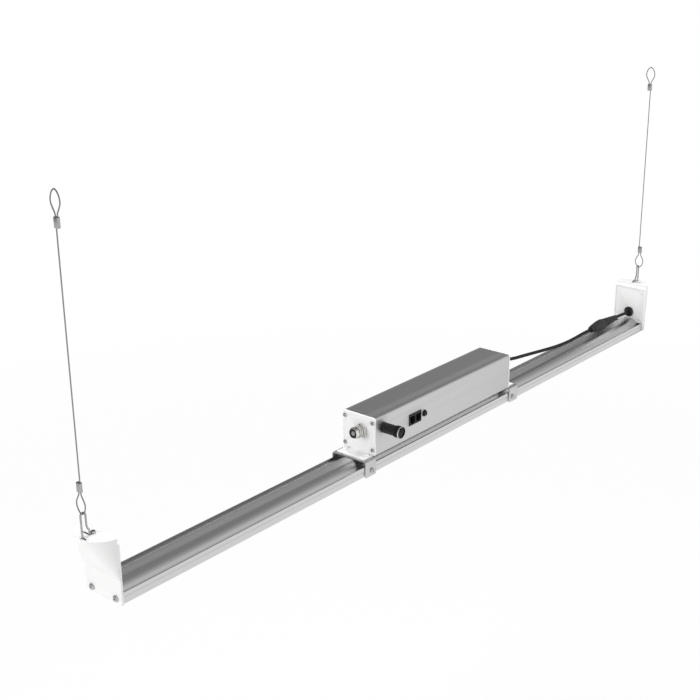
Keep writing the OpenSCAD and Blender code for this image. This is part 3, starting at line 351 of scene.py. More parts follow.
class Finish(Tree):
    """A new material, whose textures lie on the object's own coordinates."""

    def __init__(self, name):
        self.material = bpy.data.materials.new(name)
        self.material.use_nodes = True
        super().__init__(self.material.node_tree)
        self.shader = self.tree.nodes["Principled BSDF"]

    def mapping(self, scale, place=(0, 0, 0)):
        return self.add("Mapping", {
            "Vector": self.coords.outputs["Object"], "Scale": scale, "Location": place,
        }).outputs[0]

    def noise(self, scale, detail=3, stretch=(1, 1, 1)):
        return self.add("TexNoise", {
            "Vector": self.mapping(stretch), "Scale": scale, "Detail": detail,
        }).outputs["Fac"]

    def ramp(self, fac, stops):
        """A ramp over a list of places and grey levels."""
        node = self.add("ValToRGB", {"Fac": fac})
        elements = node.color_ramp.elements
        while len(elements) < len(stops):
            elements.new(0.5)
        for element, (where, level) in zip(elements, stops):
            element.position = where
            element.color = (level, level, level, 1)
        return node.outputs["Color"]

    def mix(self, fac, a, b):
        node = self.add("Mix", {0: fac}, data_type="RGBA")
        for socket, value in ((node.inputs[6], a), (node.inputs[7], b)):
            self.set(socket, (*value, 1) if isinstance(value, tuple) else value)
        return node.outputs[2]

    def bump(self, height, strength, distance, normal=None):
        inputs = {"Height": height, "Strength": strength, "Distance": distance}
        if normal is not None:
            inputs["Normal"] = normal
        return self.add("Bump", inputs).outputs[0]

    def finish(self, **sockets):
        for key, value in sockets.items():
            self.set(self.shader.inputs[key.replace("_", " ")], value)
        return self.material


def shaded(colour, factor):
    return tuple(channel * factor for channel in colour)


def material(name):
    """Marks a function that makes the material of that name when it is first asked for."""
    def wrap(maker):
        return lambda: bpy.data.materials.get(name) or maker(name)
    return wrap


# How much paler than its colour aluminium is painted on its bands and on its level lands, a
# painted sheen that stands for the light these upward faces catch, and how much rougher the
# lands are
PAINTED_BAND_SHEEN = 1.12
PAINTED_LAND_SHEEN = 1.25
ROUGH_LAND = 0.22
# Shares of the way from the front of the box to its back, and how strong the painted reflection
# on the box's top is there
BOX_SHEEN_BANDS = (
    (0, 0), (0.08, 0.05), (0.17, 0.8), (0.24, 1), (0.31, 0.5), (0.4, 0), (0.86, 0), (0.96, 0.8))


def extruded_aluminium(name, colour, rough, rough_sheen_lands=False, sheen_bands=()):
    """Satin aluminium with fine drawing lines along the bar and faint cloudy tarnish.

    Its level lands can be rougher and carry a painted sheen, or the box's top can carry bands
    of painted reflection over its width.
    """
    n = Finish(name)
    lines = n.noise(900, 2, (0.004, 1, 1))
    broad = n.noise(140, 2, (0.006, 1, 1))
    streaks = n.noise(70, 1, (0.004, 1, 1))
    cloud = n.noise(9)
    tone = n.mix(n.math("MULTIPLY", lines, 0.5), shaded(colour, 0.93), shaded(colour, 1.06))
    tone = n.mix(n.math("MULTIPLY", streaks, 0.5), tone, shaded(colour, 0.78))
    tone = n.mix(n.math("MULTIPLY", cloud, 0.35), tone, shaded(colour, 0.86))
    roughness = n.math("ADD", n.math("MULTIPLY", broad, 0.12), rough - 0.06)
    normal = n.add("NewGeometry").outputs["Normal"]
    up = n.add("SeparateXYZ", {"Vector": normal}).outputs["Z"]
    # Faces that point up, where the painted sheen and the bands of painted reflection go
    level = n.spread(up, 0.95, 0.99)
    if sheen_bands:
        across = n.add("SeparateXYZ", {"Vector": n.coords.outputs["Object"]}).outputs["Y"]
        share = n.spread(across, -BOX_Y * MM, BOX_Y * MM)
        # Painted reflection: paler bands across the box's width, only on faces that point up
        pale = n.math("MULTIPLY", level, n.ramp(share, sheen_bands))
        tone = n.mix(pale, tone, shaded(colour, PAINTED_BAND_SHEEN))
    if rough_sheen_lands:
        # Painted sheen: level faces are painted paler, standing for the light they catch
        tone = n.mix(level, tone, shaded(colour, PAINTED_LAND_SHEEN))
        roughness = n.math("ADD", roughness, n.math("MULTIPLY", level, ROUGH_LAND))
    bump = n.bump(lines, 0.04, 0.00006)
    return n.finish(
        Base_Color=tone, Metallic=1.0, Roughness=roughness,
        Normal=n.bump(broad, 0.04, 0.00015, bump),
    )


@material("satin_profile_aluminium")
def profile_metal(name):
    return extruded_aluminium(name, settings().colours.profile[:], 0.26, rough_sheen_lands=True)


@material("satin_box_aluminium")
def housing_metal(name):
    return extruded_aluminium(name, settings().colours.housing[:], 0.52, sheen_bands=BOX_SHEEN_BANDS)


# Specular level of the black mouldings
DULL = 0.28


def moulded(name, colour, rough, grain, sheen=0.5):
    """Moulded plastic with a fine spark-eroded grain and soft changes of sheen."""
    n = Finish(name)
    fine = n.noise(2600, 2)
    wave = n.noise(60, 2)
    tone = n.mix(n.math("MULTIPLY", wave, 0.4), colour, shaded(colour, 0.94))
    roughness = n.math("ADD", n.math("MULTIPLY", wave, 0.14), rough - 0.07)
    return n.finish(
        Base_Color=tone, Roughness=roughness, Specular_IOR_Level=sheen,
        Normal=n.bump(wave, 0.04, 0.0004, n.bump(fine, grain, 0.00006)),
    )


@material("white_moulding")
def white_plastic(name):
    return moulded(name, settings().colours.white[:], 0.34, 0.04)


@material("black_moulding")
def black_plastic(name):
    return moulded(name, settings().colours.black[:], 0.5, 0.12, DULL)


@material("knob_moulding")
def knob_plastic(name):
    return moulded(name, settings().colours.black[:], 0.46, 0.1, DULL)


@material("black_rubber")
def rubber(name):
    return moulded(name, settings().colours.cable[:], 0.66, 0.2, DULL)


@material("shiny_rubber")
def shiny_rubber(name):
    return moulded(name, settings().colours.cable[:], 0.3, 0.04)


@material("seal_rubber")
def seal_rubber(name):
    """Black rubber with a paler membrane over the opening of the mains gland."""
    n = Finish(name)
    across = n.mapping((0, 1, 1), place=-at(0, *GLAND_FOOT[1:]))
    radius = n.add("VectorMath", {"Vector": across}, operation="LENGTH").outputs["Value"]
    edge = n.spread(radius, 0.0028, 0.0033)
    wave = n.noise(700, 2)
    pale = n.mix(wave, (0.42, 0.42, 0.42), (0.2, 0.2, 0.2))
    return n.finish(
        Base_Color=n.mix(edge, pale, settings().colours.cable[:]), Roughness=0.5,
        Specular_IOR_Level=DULL, Normal=n.bump(wave, 0.1, 0.0001),
    )


@material("ribbed_rubber")
def ribbed_rubber(name):
    return moulded(name, (0.02, 0.02, 0.021), 0.5, 0.1, 0.4)


@material("cable_sheath")
def cable_sheath(name):
    return moulded(name, settings().colours.cable[:], 0.58, 0.12, DULL)


@material("white_powder_coat")
def powder_coat(name):
    """White powder coat with its fine orange peel."""
    n = Finish(name)
    peel = n.noise(1500, 2)
    cloud = n.noise(40, 2)
    colour = settings().colours.paint[:]
    tone = n.mix(n.math("MULTIPLY", cloud, 0.5), colour, shaded(colour, 0.95))
    return n.finish(Base_Color=tone, Roughness=0.38, Normal=n.bump(peel, 0.16, 0.00012))


def plated(name, colour, rough, scale=1200):
    """Plated metal with a faint mottle and fine scuffs."""
    n = Finish(name)
    mottle = n.noise(scale)
    wide = n.noise(scale / 12, 2)
    tone = n.mix(n.math("MULTIPLY", wide, 0.7), colour, shaded(colour, 0.8))
    roughness = n.math("ADD", n.math("MULTIPLY", mottle, 0.16), rough - 0.08)
    return n.finish(
        Base_Color=tone, Metallic=1.0, Roughness=roughness,
        Normal=n.bump(mottle, 0.08, 0.00004),
    )


@material("plated_screws")
def screw_steel(name):
    return plated(name, settings().colours.steel[:], 0.3)


@material("drawn_hook_wire")
def hook_steel(name):
    return plated(name, shaded(settings().colours.steel[:], 0.8), 0.34, 900)


@material("gland_nickel")
def gland_nickel(name):
    return plated(name, settings().colours.nickel[:], 0.2)


@material("bright_ring")
def bright_ring(name):
    return plated(name, (0.95, 0.95, 0.95), 0.16)


@material("rope_wire")
def rope_steel(name):
    return plated(name, (0.3, 0.3, 0.31), 0.42, 3000)


@material("crimped_sleeve")
def ferrule_metal(name):
    return plated(name, (0.47, 0.47, 0.48), 0.4, 700)


def plain(name, colour, rough, metal=0.0, scale=500):
    """A hidden or small part's finish, with a faint mottle."""
    n = Finish(name)
    wave = n.noise(scale)
    return n.finish(
        Base_Color=n.mix(wave, colour, shaded(colour, 0.85)), Metallic=metal,
        Roughness=rough, Normal=n.bump(wave, 0.08, 0.00005),
    )


@material("potting_resin")
def dark_resin(name):
    return plain(name, (0.02, 0.02, 0.022), 0.5, scale=300)


@material("white_board")
def board_white(name):
    return plain(name, (0.8, 0.8, 0.78), 0.4)


@material("green_board")
def board_green(name):
    return plain(name, (0.02, 0.11, 0.035), 0.35)


@material("phosphor")
def phosphor(name):
    return plain(name, (0.78, 0.55, 0.06), 0.4)


@material("contact_gold")
def contact_gold(name):
    return plain(name, (0.75, 0.52, 0.16), 0.25, metal=1.0)


@material("frosted_lens")
def lens_plastic(name):
    n = Finish(name)
    frost = n.noise(900, 2)
    return n.finish(
        Base_Color=(0.93, 0.95, 0.96, 1), Roughness=0.35, Transmission_Weight=0.75,
        IOR=1.49, Normal=n.bump(frost, 0.1, 0.00008),
    )


# Cords and hooks, in mm

CAP_TOP_Z = 79.4
# The hook's bail: its top, its middle from the inner face of the cap and its bend
BAIL_TOP_Z = CAP_TOP_Z + 28.6
BAIL_X = ROPE_X - CAP_X
BAIL_R = 3.1
HOOK_D = 2.3
# The hook's inner foot, from the inner face of the cap
INNER_FOOT_X = 16
# Half the width of a rope's lower and upper eye
LOW_EYE_R = 7
TOP_EYE_R = 7.3
# The lower ends of a rope's two sleeves, and their length
LOW_SLEEVE_Z = 130
TOP_SLEEVE_Z = 405.6
SLEEVE_L = 10.8
# Half the distance between the two strands in a sleeve
STRAND_Y = 1.6
# Distance between the sections of a rope's mesh, in m
ROPE_STEP = 0.0006
# The side of the straight run on which the lower and the upper sleeve of a rope stand
SLEEVE_SIDES = {"left": (1, -1), "right": (-1, 1)}

LEAD_ROUTE = [
    (180, 0, 49.5), (186, 0, 49.5), (193, 0, 49), (203, 0, 47.5), (216, 0, 45.4),
    (232, 0, 43.5), (250, 0, 41.3), (268, 0, 39.1), (286, 0, 36.8), (304, 0, 34.6),
    (322, 0, 32.6), (340, 0.2, 30.8), (358, 0.6, 29.4), (376, 1.2, 28.4),
    (394, 2, 28), (410, 2.8, 28), (424, 3.3, 28.2), (434, 3.5, 28.3), CONNECTOR_FOOT,
    (452.5, 3.5, 28.3),
]
BAR_LEAD_ROUTE = [
    (536, 3.5, 28.3), (538, 3.5, 28.3), (541, 3.4, 28.3), (544, 3.1, 28.4),
    (547, 2.7, 28.5), (550, 2.2, 28.7), (553, 1.7, 28.9), (556, 1.2, 29.1),
    (559, 0.8, 29.2), (562, 0.4, 29.3), (565, 0.2, 29.4), (567, 0.1, 29.5),
    (569, 0, 29.5), (571, 0, 29.5), (573.5, 0, 29.5),
]


def length_of(points):
    return sum((b - a).length for a, b in zip(points, points[1:]))


def through(points, steps):
    """Points on one smooth curve through all of points, with steps from each to the next."""
    line = [2 * points[0] - points[1], *points, 2 * points[-1] - points[-2]]
    curve = []
    for a, b, c, d in zip(line, line[1:], line[2:], line[3:]):
        for i in range(steps):
            t = i / steps
            curve.append(
                0.5 * ((2 * b) + (c - a) * t + (2 * a - 5 * b + 4 * c - d) * t * t
                       + (3 * b - a - 3 * c + d) * t ** 3)
            )
    return [*curve, points[-1]]


def wire_curve(name, points, diameter):
    data = bpy.data.curves.new(name, "CURVE")
    data.dimensions = "3D"
    data.bevel_depth = diameter / 2
    data.bevel_resolution = 6
    data.use_fill_caps = True
    spline = data.splines.new("POLY")
    spline.points.add(len(points) - 1)
    for point, spot in zip(spline.points, points):
        point.co = (*spot, 1)
    spline.use_smooth = True
    return linked(name, data)


def arc(centre, radius, start, stop, steps, across=(0, 1, 0)):
    """Points of an upright arc in mm, between two angles in degrees from across."""
    across, up = Vector(across), Vector((0, 0, 1))
    return [
        Vector(centre) + radius * (math.cos(a) * across + math.sin(a) * up)
        for a in (math.radians(start + (stop - start) * i / steps) for i in range(steps + 1))
    ]


# Half width of an eye at shares of the way from its tip to the sleeve
EYE_OUTLINE = (
    (0.93, 0.23), (0.84, 0.34), (0.72, 0.6), (0.58, 0.88), (0.45, 1), (0.32, 0.95),
    (0.18, 0.76), (0.08, 0.5), (0.02, 0.24),
)


def eye(tip_z, sleeve_z, middle, half):
    """A teardrop in mm from one strand round the tip of an eye to the other strand."""
    one = [Vector((0, middle - half * wide, tip_z + (sleeve_z - tip_z) * share))
           for share, wide in EYE_OUTLINE]
    other = [Vector((0, 2 * middle - point.y, point.z)) for point in reversed(one)]
    return [*one, Vector((0, middle, tip_z)), *other]


def rope_route(low_side, top_side):
    """The rope's line in mm, from the lower sleeve round both eyes to the upper one.

    Each side says where the sleeve stands beside the straight run, as a sign of Y.
    """
    low, top = LOW_SLEEVE_Z, TOP_SLEEVE_Z
    # Heights of the rope's middle line at the tips of the eyes
    low_tip, top_tip = BAIL_TOP_Z - HOOK_D - 0.95, EYE_Z + 0.6
    # Length in which the rope comes from a sleeve to the straight run
    neck = 5
    steps = 12
    span = top - low - SLEEVE_L - 2 * neck

    def strand(side, z, shares=(0, 0.5, 1)):
        return [Vector((0, side * STRAND_Y, z + SLEEVE_L * share)) for share in shares]

    low_eye = eye(low_tip, low, low_side * STRAND_Y, LOW_EYE_R)
    top_eye = eye(top_tip, top + SLEEVE_L, top_side * STRAND_Y, TOP_EYE_R)
    return [
        *strand(2 * low_side, low, (1, 0.5, 0)),
        *(low_eye if low_side < 0 else reversed(low_eye)),
        *strand(0, low),
        *[Vector((0, 0, low + SLEEVE_L + neck + i * span / steps)) for i in range(steps + 1)],
        *strand(0, top),
        *(top_eye if top_side > 0 else reversed(top_eye)),
        *strand(2 * top_side, top, (1, 0.5, 0)),
    ]


def hook_route():
    """The bent wire's line in mm, with X from the inner face of the cap."""
    outer, inner = BAIL_X + BAIL_R, BAIL_X - BAIL_R
    # Height of both feet, and the radius of the bends over the inner and the outer one
    foot_z, bend, wide = CAP_TOP_Z - HOOK_D / 2, 2.5, 4.5
    # Height of the middle of the bail's arc
    high = BAIL_TOP_Z - HOOK_D / 2 - BAIL_R
    rise = high - foot_z - wide
    return [
        Vector((outer, 7, foot_z)), Vector((outer, 5.8, foot_z)),
        *arc((outer, wide, foot_z + wide), wide, -90, -180, 8),
        *[Vector((outer, 0, foot_z + wide + rise * i / 4)) for i in (1, 2, 3)],
        *arc((BAIL_X, 0, high), BAIL_R, 0, 180, 16, (1, 0, 0)),
        Vector((inner, 0, 97)), Vector((inner - 0.1, 0, 92.5)), Vector((inner - 0.25, 0, 90)),
        Vector(((inner + INNER_FOOT_X) / 2, 0, 87.2)), Vector((INNER_FOOT_X, 0, 84.4)),
        *arc((INNER_FOOT_X, -bend, foot_z + bend), bend, 0, -90, 8),
        Vector((INNER_FOOT_X, -6, foot_z)), Vector((INNER_FOOT_X, -10.6, foot_z)),
    ]


def resampled(points, step):
    """Points at an even distance along a line."""
    total = length_of(points)
    count = max(2, round(total / step))
    out, i, gone = [], 0, 0.0
    for mark in [total * k / count for k in range(count + 1)]:
        while i < len(points) - 2 and gone + (points[i + 1] - points[i]).length < mark:
            gone += (points[i + 1] - points[i]).length
            i += 1
        span = points[i + 1] - points[i]
        out.append(points[i] + span * min(1, (mark - gone) / span.length))
    return out


def strand_radius(angle, radius, strands):
    """Outline of a bundle of equal strands, at an angle from the middle of a strand."""
    half = math.pi / strands
    phi = (angle + half) % (2 * half) - half
    centre = radius / (1 + math.sin(half))
    strand = centre * math.sin(half)
    return centre * math.cos(phi) + math.sqrt(
        max(0.0, strand ** 2 - (centre * math.sin(phi)) ** 2))


def rope_mesh(name, line, diameter, lay, strands):
    """A wire rope: its lobed section turns once in every length of lay."""
    points_a_strand = 5
    sides = points_a_strand * strands
    verts = []
    across = Vector((1, 0, 0))
    walked = 0.0
    for i, point in enumerate(line):
        ahead = line[min(i + 1, len(line) - 1)] - line[max(i - 1, 0)]
        ahead.normalize()
        across = (across - across.dot(ahead) * ahead).normalized()
        other = ahead.cross(across)
        if i:
            walked += (point - line[i - 1]).length
        turn = 2 * math.pi * walked / lay
        for k in range(sides):
            a = 2 * math.pi * k / sides
            r = strand_radius(a, diameter / 2, strands)
            verts.append(
                point + r * (math.cos(a + turn) * across + math.sin(a + turn) * other))
    obj = from_points(name, verts, [], tube_faces(len(line), sides))
    smooth(obj, 60)
    return obj


class GROWBAR_OT_camera(bpy.types.Operator):
    """Sets the camera that looks along the bar from its dimmer end"""

    bl_idname = "growbar.camera"
    bl_label = "Camera"

    def execute(self, context):
        look = settings().camera
        data = bpy.data.cameras.new("bar_camera")
        data.sensor_width = 36
        data.lens = look.lens
        data.clip_start, data.clip_end = 0.05, 50
        camera = linked("bar_camera", data)
        quarter = math.pi / 2
        turn = (
            Matrix.Rotation(look.yaw - quarter, 4, "Z")
            @ Matrix.Rotation(quarter - look.pitch, 4, "X")
            @ Matrix.Rotation(look.roll, 4, "Z")
        )
        camera.matrix_world = Matrix.Translation(look.place) @ turn
        context.scene.camera = camera
        return {"FINISHED"}


def boot_rows():
    """Rows of the socket's boot in mm, with ribs that get smaller towards the lead."""
    ribs, pitch, start, stop = 6, 6.5, 52.6, 91.6
    rows = [(0, 41), (6.6, 41), (6.4, start)]
    for i in range(ribs):
        z = start + i * pitch
        wide = 7.9 - 3.5 * (z - start) / (stop - start)
        rows += [(wide, z + 0.4), (wide - 0.2, z + pitch - 2), (wide - 1.6, z + pitch - 1.6),
                 (wide - 1.8, z + pitch)]
    return [*rows, (4.3, 93), (4.1, 96), (0, 96)]


def fluted(obj, low, high):
    """Presses shallow flutes into the ring nut's outer wall, between heights in mm."""
    flutes, depth = 16, 0.08
    for vertex in obj.data.vertices:
        x, y, z = vertex.co
        # What lies inside this radius is the bore, which stays round
        bore = (z / MM / 20 + 5.6) * MM
        if low * MM < z < high * MM and math.hypot(x, y) > bore:
            share = 1 - depth * (0.5 + 0.5 * math.cos(flutes * math.atan2(y, x)))
            vertex.co = (x * share, y * share, z)


def inline_connector():
    """The plug with its tail, the ribbed ring nut and the ribbed boot of the socket."""
    plug = (
        (0, 11), (4.3, 11), (5.2, 11.7), (5.5, 13.5), (5.5, 24), (6.4, 36), (6.4, 40),
        (0, 40))
    nut = (
        (5.6, 17), (6.3, 17.3), (6.7, 19), (7.4, 25), (8.2, 31), (8.8, 37), (9, 42),
        (9, 48), (8.6, 49.6), (7.6, 50.4), (6.8, 50.4), (6.8, 37), (5.6, 24), (5.6, 17))
    pieces = []
    for node, name, rows, sides in (
        ("connector_plug", "plug_tail", plug, 48),
        ("connector_nut", "ring_nut", nut, 80),
        ("connector_socket", "socket_boot", boot_rows(), 48),
    ):
        obj = spun(name, rows, sides)
        if node == "connector_nut":
            fluted(obj, low=20, high=48)
        obj.data.transform(facing("+x", *CONNECTOR_FOOT))
        smooth(obj, 40)
        stand_in(obj, node, ribbed_rubber())
        pieces.append(obj)
    return pieces


class GROWBAR_OT_leads(bpy.types.Operator):
    """Makes the output lead and the short lead into the end cap"""

    bl_idname = "growbar.leads"
    bl_label = "Leads"

    def execute(self, context):
        plug = inline_connector()
        for name, route, end, carried in (
            ("output_lead_sheath", LEAD_ROUTE, "connector", plug),
            ("bar_lead_sheath", BAR_LEAD_ROUTE, "object", []),
        ):
            node = name.replace("_sheath", "")
            points = through([at(*p) for p in route], steps=4)
            obj = wire_curve(name, points, settings().cords.lead)
            stand_in(obj, node, cable_sheath())
        return {"FINISHED"}


def crimped_sleeves(side, sign):
    """The two sleeves of a rope, each a figure of eight round both strands."""
    # Radius of each lobe, its reach each way in degrees, and the steps it is drawn in
    lobe, reach, steps = 2.15, 122, 13
    # Height of the chamfers and what they leave of the width, and radius of the bores
    chamfer, narrow, bore = 0.35, 0.9, 1.05
    outline = []
    for half in (1, -1):
        for i in range(steps + 1):
            a = math.radians(reach * (2 * i / steps - 1))
            outline.append((half * lobe * math.sin(a), half * (STRAND_Y + lobe * math.cos(a))))
    levels = ((0, narrow), (chamfer, 1), (SLEEVE_L - chamfer, 1), (SLEEVE_L, narrow))
    verts = [
        (x * share * MM, y * share * MM, z * MM) for z, share in levels for x, y in outline]
    model = from_points("sleeve_model", verts, [], tube_faces(len(levels), len(outline)))
    for y in (-STRAND_Y, STRAND_Y):
        bpy.ops.mesh.primitive_cylinder_add(
            vertices=24, radius=bore * MM, depth=2 * SLEEVE_L * MM + 0.01,
            location=(0, y * MM, 0))
        cut_out(model, bpy.context.object)
    edit(model)
    bpy.ops.mesh.normals_make_consistent(inside=False)
    done()
    obj = put_copies(model, side + "_crimped_sleeves", [
        Matrix.Translation(at(sign * ROPE_X, way * STRAND_Y, z))
        for way, z in zip(SLEEVE_SIDES[side], (LOW_SLEEVE_Z, TOP_SLEEVE_Z))])
    smooth(obj, 40)
    stand_in(obj, side + "_ferrules", ferrule_metal())
    return obj


class GROWBAR_OT_ropes(bpy.types.Operator):
    """Makes the two stranded wire ropes with their eyes and crimped sleeves"""

    bl_idname = "growbar.ropes"
    bl_label = "Wire ropes"

    def execute(self, context):
        sizes = settings().cords
        for side, sign in (("left", -1), ("right", 1)):
            marks = rope_route(*SLEEVE_SIDES[side])
            route = through([at(sign * ROPE_X, p.y, p.z) for p in marks], steps=6)
            line = resampled(route, ROPE_STEP)
            node = side + "_rope"
            obj = rope_mesh(node + "_strands", line, sizes.rope, sizes.lay, sizes.strands)
            stand_in(obj, node, rope_steel())
            crimped_sleeves(side, sign)
        return {"FINISHED"}


# Screws


def cross_screw(name, head_d, head_h, shank_d, shank_l):
    """A pan head screw with a cross recess, its head on z = 0 and its shank below."""
    rows = ((0, -shank_l), (shank_d / 2 * 0.55, -shank_l), (shank_d / 2, -shank_l * 0.9),
            (shank_d / 2, 0), (head_d / 2 * 0.97, 0), (head_d / 2, head_h * 0.12),
            (head_d / 2, head_h * 0.45), (head_d / 2 * 0.93, head_h * 0.75),
            (head_d / 2 * 0.76, head_h * 0.94), (head_d / 2 * 0.5, head_h), (0, head_h))
    obj = spun(name, rows, 32)
    arm, wide, deep = head_d * 0.56, head_d * 0.13, head_h * 0.72
    # What is left of an arm's length and width at the bottom of the recess
    short, slim = 0.45, 0.8
    for size, share in (((arm, wide), (short, slim)), ((wide, arm), (slim, short))):
        bpy.ops.mesh.primitive_cube_add(size=1, location=(0, 0, head_h * MM))
        cutter = bpy.context.object
        cutter.scale = [s * MM for s in (*size, deep * 2)]
        bpy.ops.object.transform_apply(location=True, rotation=False, scale=True)
        for vertex in cutter.data.vertices:
            if vertex.co.z < head_h * MM:
                vertex.co.x *= share[0]
                vertex.co.y *= share[1]
        cut_out(obj, cutter)
    smooth(obj, 35)
    return obj


def spun(name, rows, sides):
    """A solid turned about Z from rows of radius and height in mm."""
    verts = [(r * MM, 0, z * MM) for r, z in rows]
    obj = from_points(name, verts, [(i, i + 1) for i in range(len(verts) - 1)], [])
    edit(obj)
    bpy.ops.mesh.spin(
        steps=sides, angle=2 * math.pi, center=(0, 0, 0), axis=(0, 0, 1), use_auto_merge=True)
    bpy.ops.mesh.select_all(action="SELECT")
    bpy.ops.mesh.remove_doubles(threshold=SEAM)
    bpy.ops.mesh.normals_make_consistent(inside=False)
    done()
    return obj


def flat_sides(obj, half, low, high):
    """Presses a turned wall between two heights to six flats, half from the axis, in mm."""
    # What lies inside the bore's radius stays round
    bore, slack, sixth = 7.8, 0.1, math.pi / 3
    for vertex in obj.data.vertices:
        x, y, z = vertex.co
        radius = math.hypot(x, y)
        if low - slack < z / MM < high + slack and radius >= bore * MM:
            off = (math.atan2(y, x) + sixth / 2) % sixth - sixth / 2
            share = min(1, half * MM / math.cos(off) / radius)
            vertex.co = (x * share, y * share, z)


def put_copies(model, name, places):
    """Copies model to each place, a matrix, and joins the copies to one piece."""
    copies = []
    for matrix in places:
        obj = model.copy()
        obj.data = model.data.copy()
        obj.data.transform(matrix)
        bpy.context.scene.collection.objects.link(obj)
        copies.append(obj)
    bpy.data.objects.remove(model)
    take(copies[0])
    for obj in copies[1:]:
        obj.select_set(True)
    bpy.ops.object.join()
    copies[0].name = copies[0].data.name = name
    return copies[0]


TO_AXIS = {
    "+x": Matrix.Rotation(math.pi / 2, 4, "Y"),
    "-x": Matrix.Rotation(-math.pi / 2, 4, "Y"),
    "+y": Matrix.Rotation(-math.pi / 2, 4, "X"),
    "-y": Matrix.Rotation(math.pi / 2, 4, "X"),
    "+z": Matrix.Identity(4),
}


def facing(axis, x, y, z, turn=0):
    """The matrix that puts a piece drawn along +Z at a point in mm, along an axis.

    Its turn about that axis is in degrees.
    """
    return (Matrix.Translation(at(x, y, z)) @ TO_AXIS[axis]
            @ Matrix.Rotation(math.radians(turn), 4, "Z"))


# Sizes of each set of screws in mm: diameter and height of the head, and diameter and
# length of the shank
SCREW_SIZES = {
    "end_plate_screws": (5.4, 2.4, 3.5, 14),
    "saddle_screws": (6.6, 2.4, 3.5, 5),
    "foot_screws": (6.6, 2.4, 3.5, 5.7),
    "end_cap_screws": (7.6, 2.4, 3.5, 22),
    "hook_screws": (6, 3, 3, 5),
    "cap_cover_screws": (3.8, 0.6, 2, 6),
}
# Where their heads sit, in mm from the middle of the bar and up from its underside
PLATE_SCREW_Y, PLATE_SCREW_ZS = 23.2, (28.8, 66.6)
SADDLE_SCREW = (165.6, 28.5, 5.2)
FOOT_SCREW = (164, 18, 21.8)
CAP_SCREW = (581.3, 19.66, 5.97)
HOOK_SCREW_X = 588.4
COVER_SCREW = (577.7, 20.5, 66.8)


def screw_places():
    """The places of each set of screws, with the turn of each cross in degrees."""
    both = (-1, 1)
    ends = (("-x", -1), ("+x", 1))
    on_plates = [
        (axis, s * PLATE_X, y, z) for axis, s in ends
        for y in (-PLATE_SCREW_Y, PLATE_SCREW_Y) for z in PLATE_SCREW_ZS]
    saddle_x, saddle_y, saddle_z = SADDLE_SCREW
    foot_x, foot_y, foot_z = FOOT_SCREW
    cap_x, cap_y, cap_z = CAP_SCREW
    cover_x, cover_y, cover_z = COVER_SCREW
    return {
        "end_plate_screws": [facing(*place, 17 * i) for i, place in enumerate(on_plates)],
        "saddle_screws": [
            facing(axis, s * saddle_x, side * saddle_y, saddle_z, 31 * s + 10 * side)
            for s in both for axis, side in (("-y", -1), ("+y", 1))],
        "foot_screws": [
            facing("+z", s * foot_x, y, foot_z, 25 * s + y)
            for s in both for y in (-foot_y, foot_y)],
        "end_cap_screws": [
            facing(axis, s * cap_x, y, cap_z, 20 + y)
            for axis, s in ends for y in (-cap_y, cap_y)],
        "hook_screws": [facing("+z", s * HOOK_SCREW_X, 0, CAP_TOP_Z, 30) for s in both],
        "cap_cover_screws": [
            facing("+x", -cover_x, cover_y, cover_z, 10),
            facing("-x", cover_x, -cover_y, cover_z, 10)],
    }


class GROWBAR_OT_screws(bpy.types.Operator):
    """Makes the cross-head screws of the caps, straps, end plates and hooks"""

    bl_idname = "growbar.screws"
    bl_label = "Screws"

    def execute(self, context):
        for node, places in screw_places().items():
            name = node.replace("_screws", "_cross_screws")
            obj = put_copies(cross_screw("screw_model", *SCREW_SIZES[node]), name, places)
            coated = node in ("cap_cover_screws", "foot_screws")
            stand_in(obj, node, powder_coat() if coated else screw_steel())
        return {"FINISHED"}


# Pieces of the bar, the caps and the driver box

# Rounding of the drawn profile's and the drawn box's edges, in m, and the angle in degrees
# from which their edges are rounded
PROFILE_EDGE = 0.00035
BOX_EDGE = 0.0002
DRAWN_ANGLE = 40


class GROWBAR_OT_bar(bpy.types.Operator):
    """Dresses the aluminium profile, the light board, its chips and the lens"""

    bl_idname = "growbar.bar"
    bl_label = "Bar"

    def execute(self, context):
        rounded("bar_extrusion", "drawn_profile", profile_metal(), PROFILE_EDGE,
                angle=DRAWN_ANGLE)
        keep("led_board", board_white())
        keep("led_chips", phosphor())
        keep("lens_cover", lens_plastic())
        keep("end_cap_gaskets", rubber())
        return {"FINISHED"}


class GROWBAR_OT_caps(bpy.types.Operator):
    """Rounds the moulded end caps and their inner covers"""

    bl_idname = "growbar.caps"
    bl_label = "End caps"

    def execute(self, context):
        r = settings().rounding
        for side in ("left", "right"):
            rounded(side + "_end_cap", side + "_moulded_cap", white_plastic(), r.moulding, 3)
            rounded(side + "_cap_cover", side + "_cover_plate", white_plastic(), r.small * 2)
        return {"FINISHED"}


class GROWBAR_OT_box(bpy.types.Operator):
    """Dresses the driver box, its end plates and the straps under it"""

    bl_idname = "growbar.box"
    bl_label = "Driver box"

    def execute(self, context):
        r = settings().rounding
        rounded("driver_housing", "drawn_box", housing_metal(), BOX_EDGE, angle=DRAWN_ANGLE)
        for side in ("left", "right"):
            rounded(side + "_end_plate", side + "_coated_plate", powder_coat(), r.sheet)
            rounded(side + "_saddle", side + "_bent_strap", housing_metal(), r.sheet)
        keep("foot_nuts", screw_steel())
        keep("driver_module", dark_resin())
        keep("driver_board", board_green())
        return {"FINISHED"}


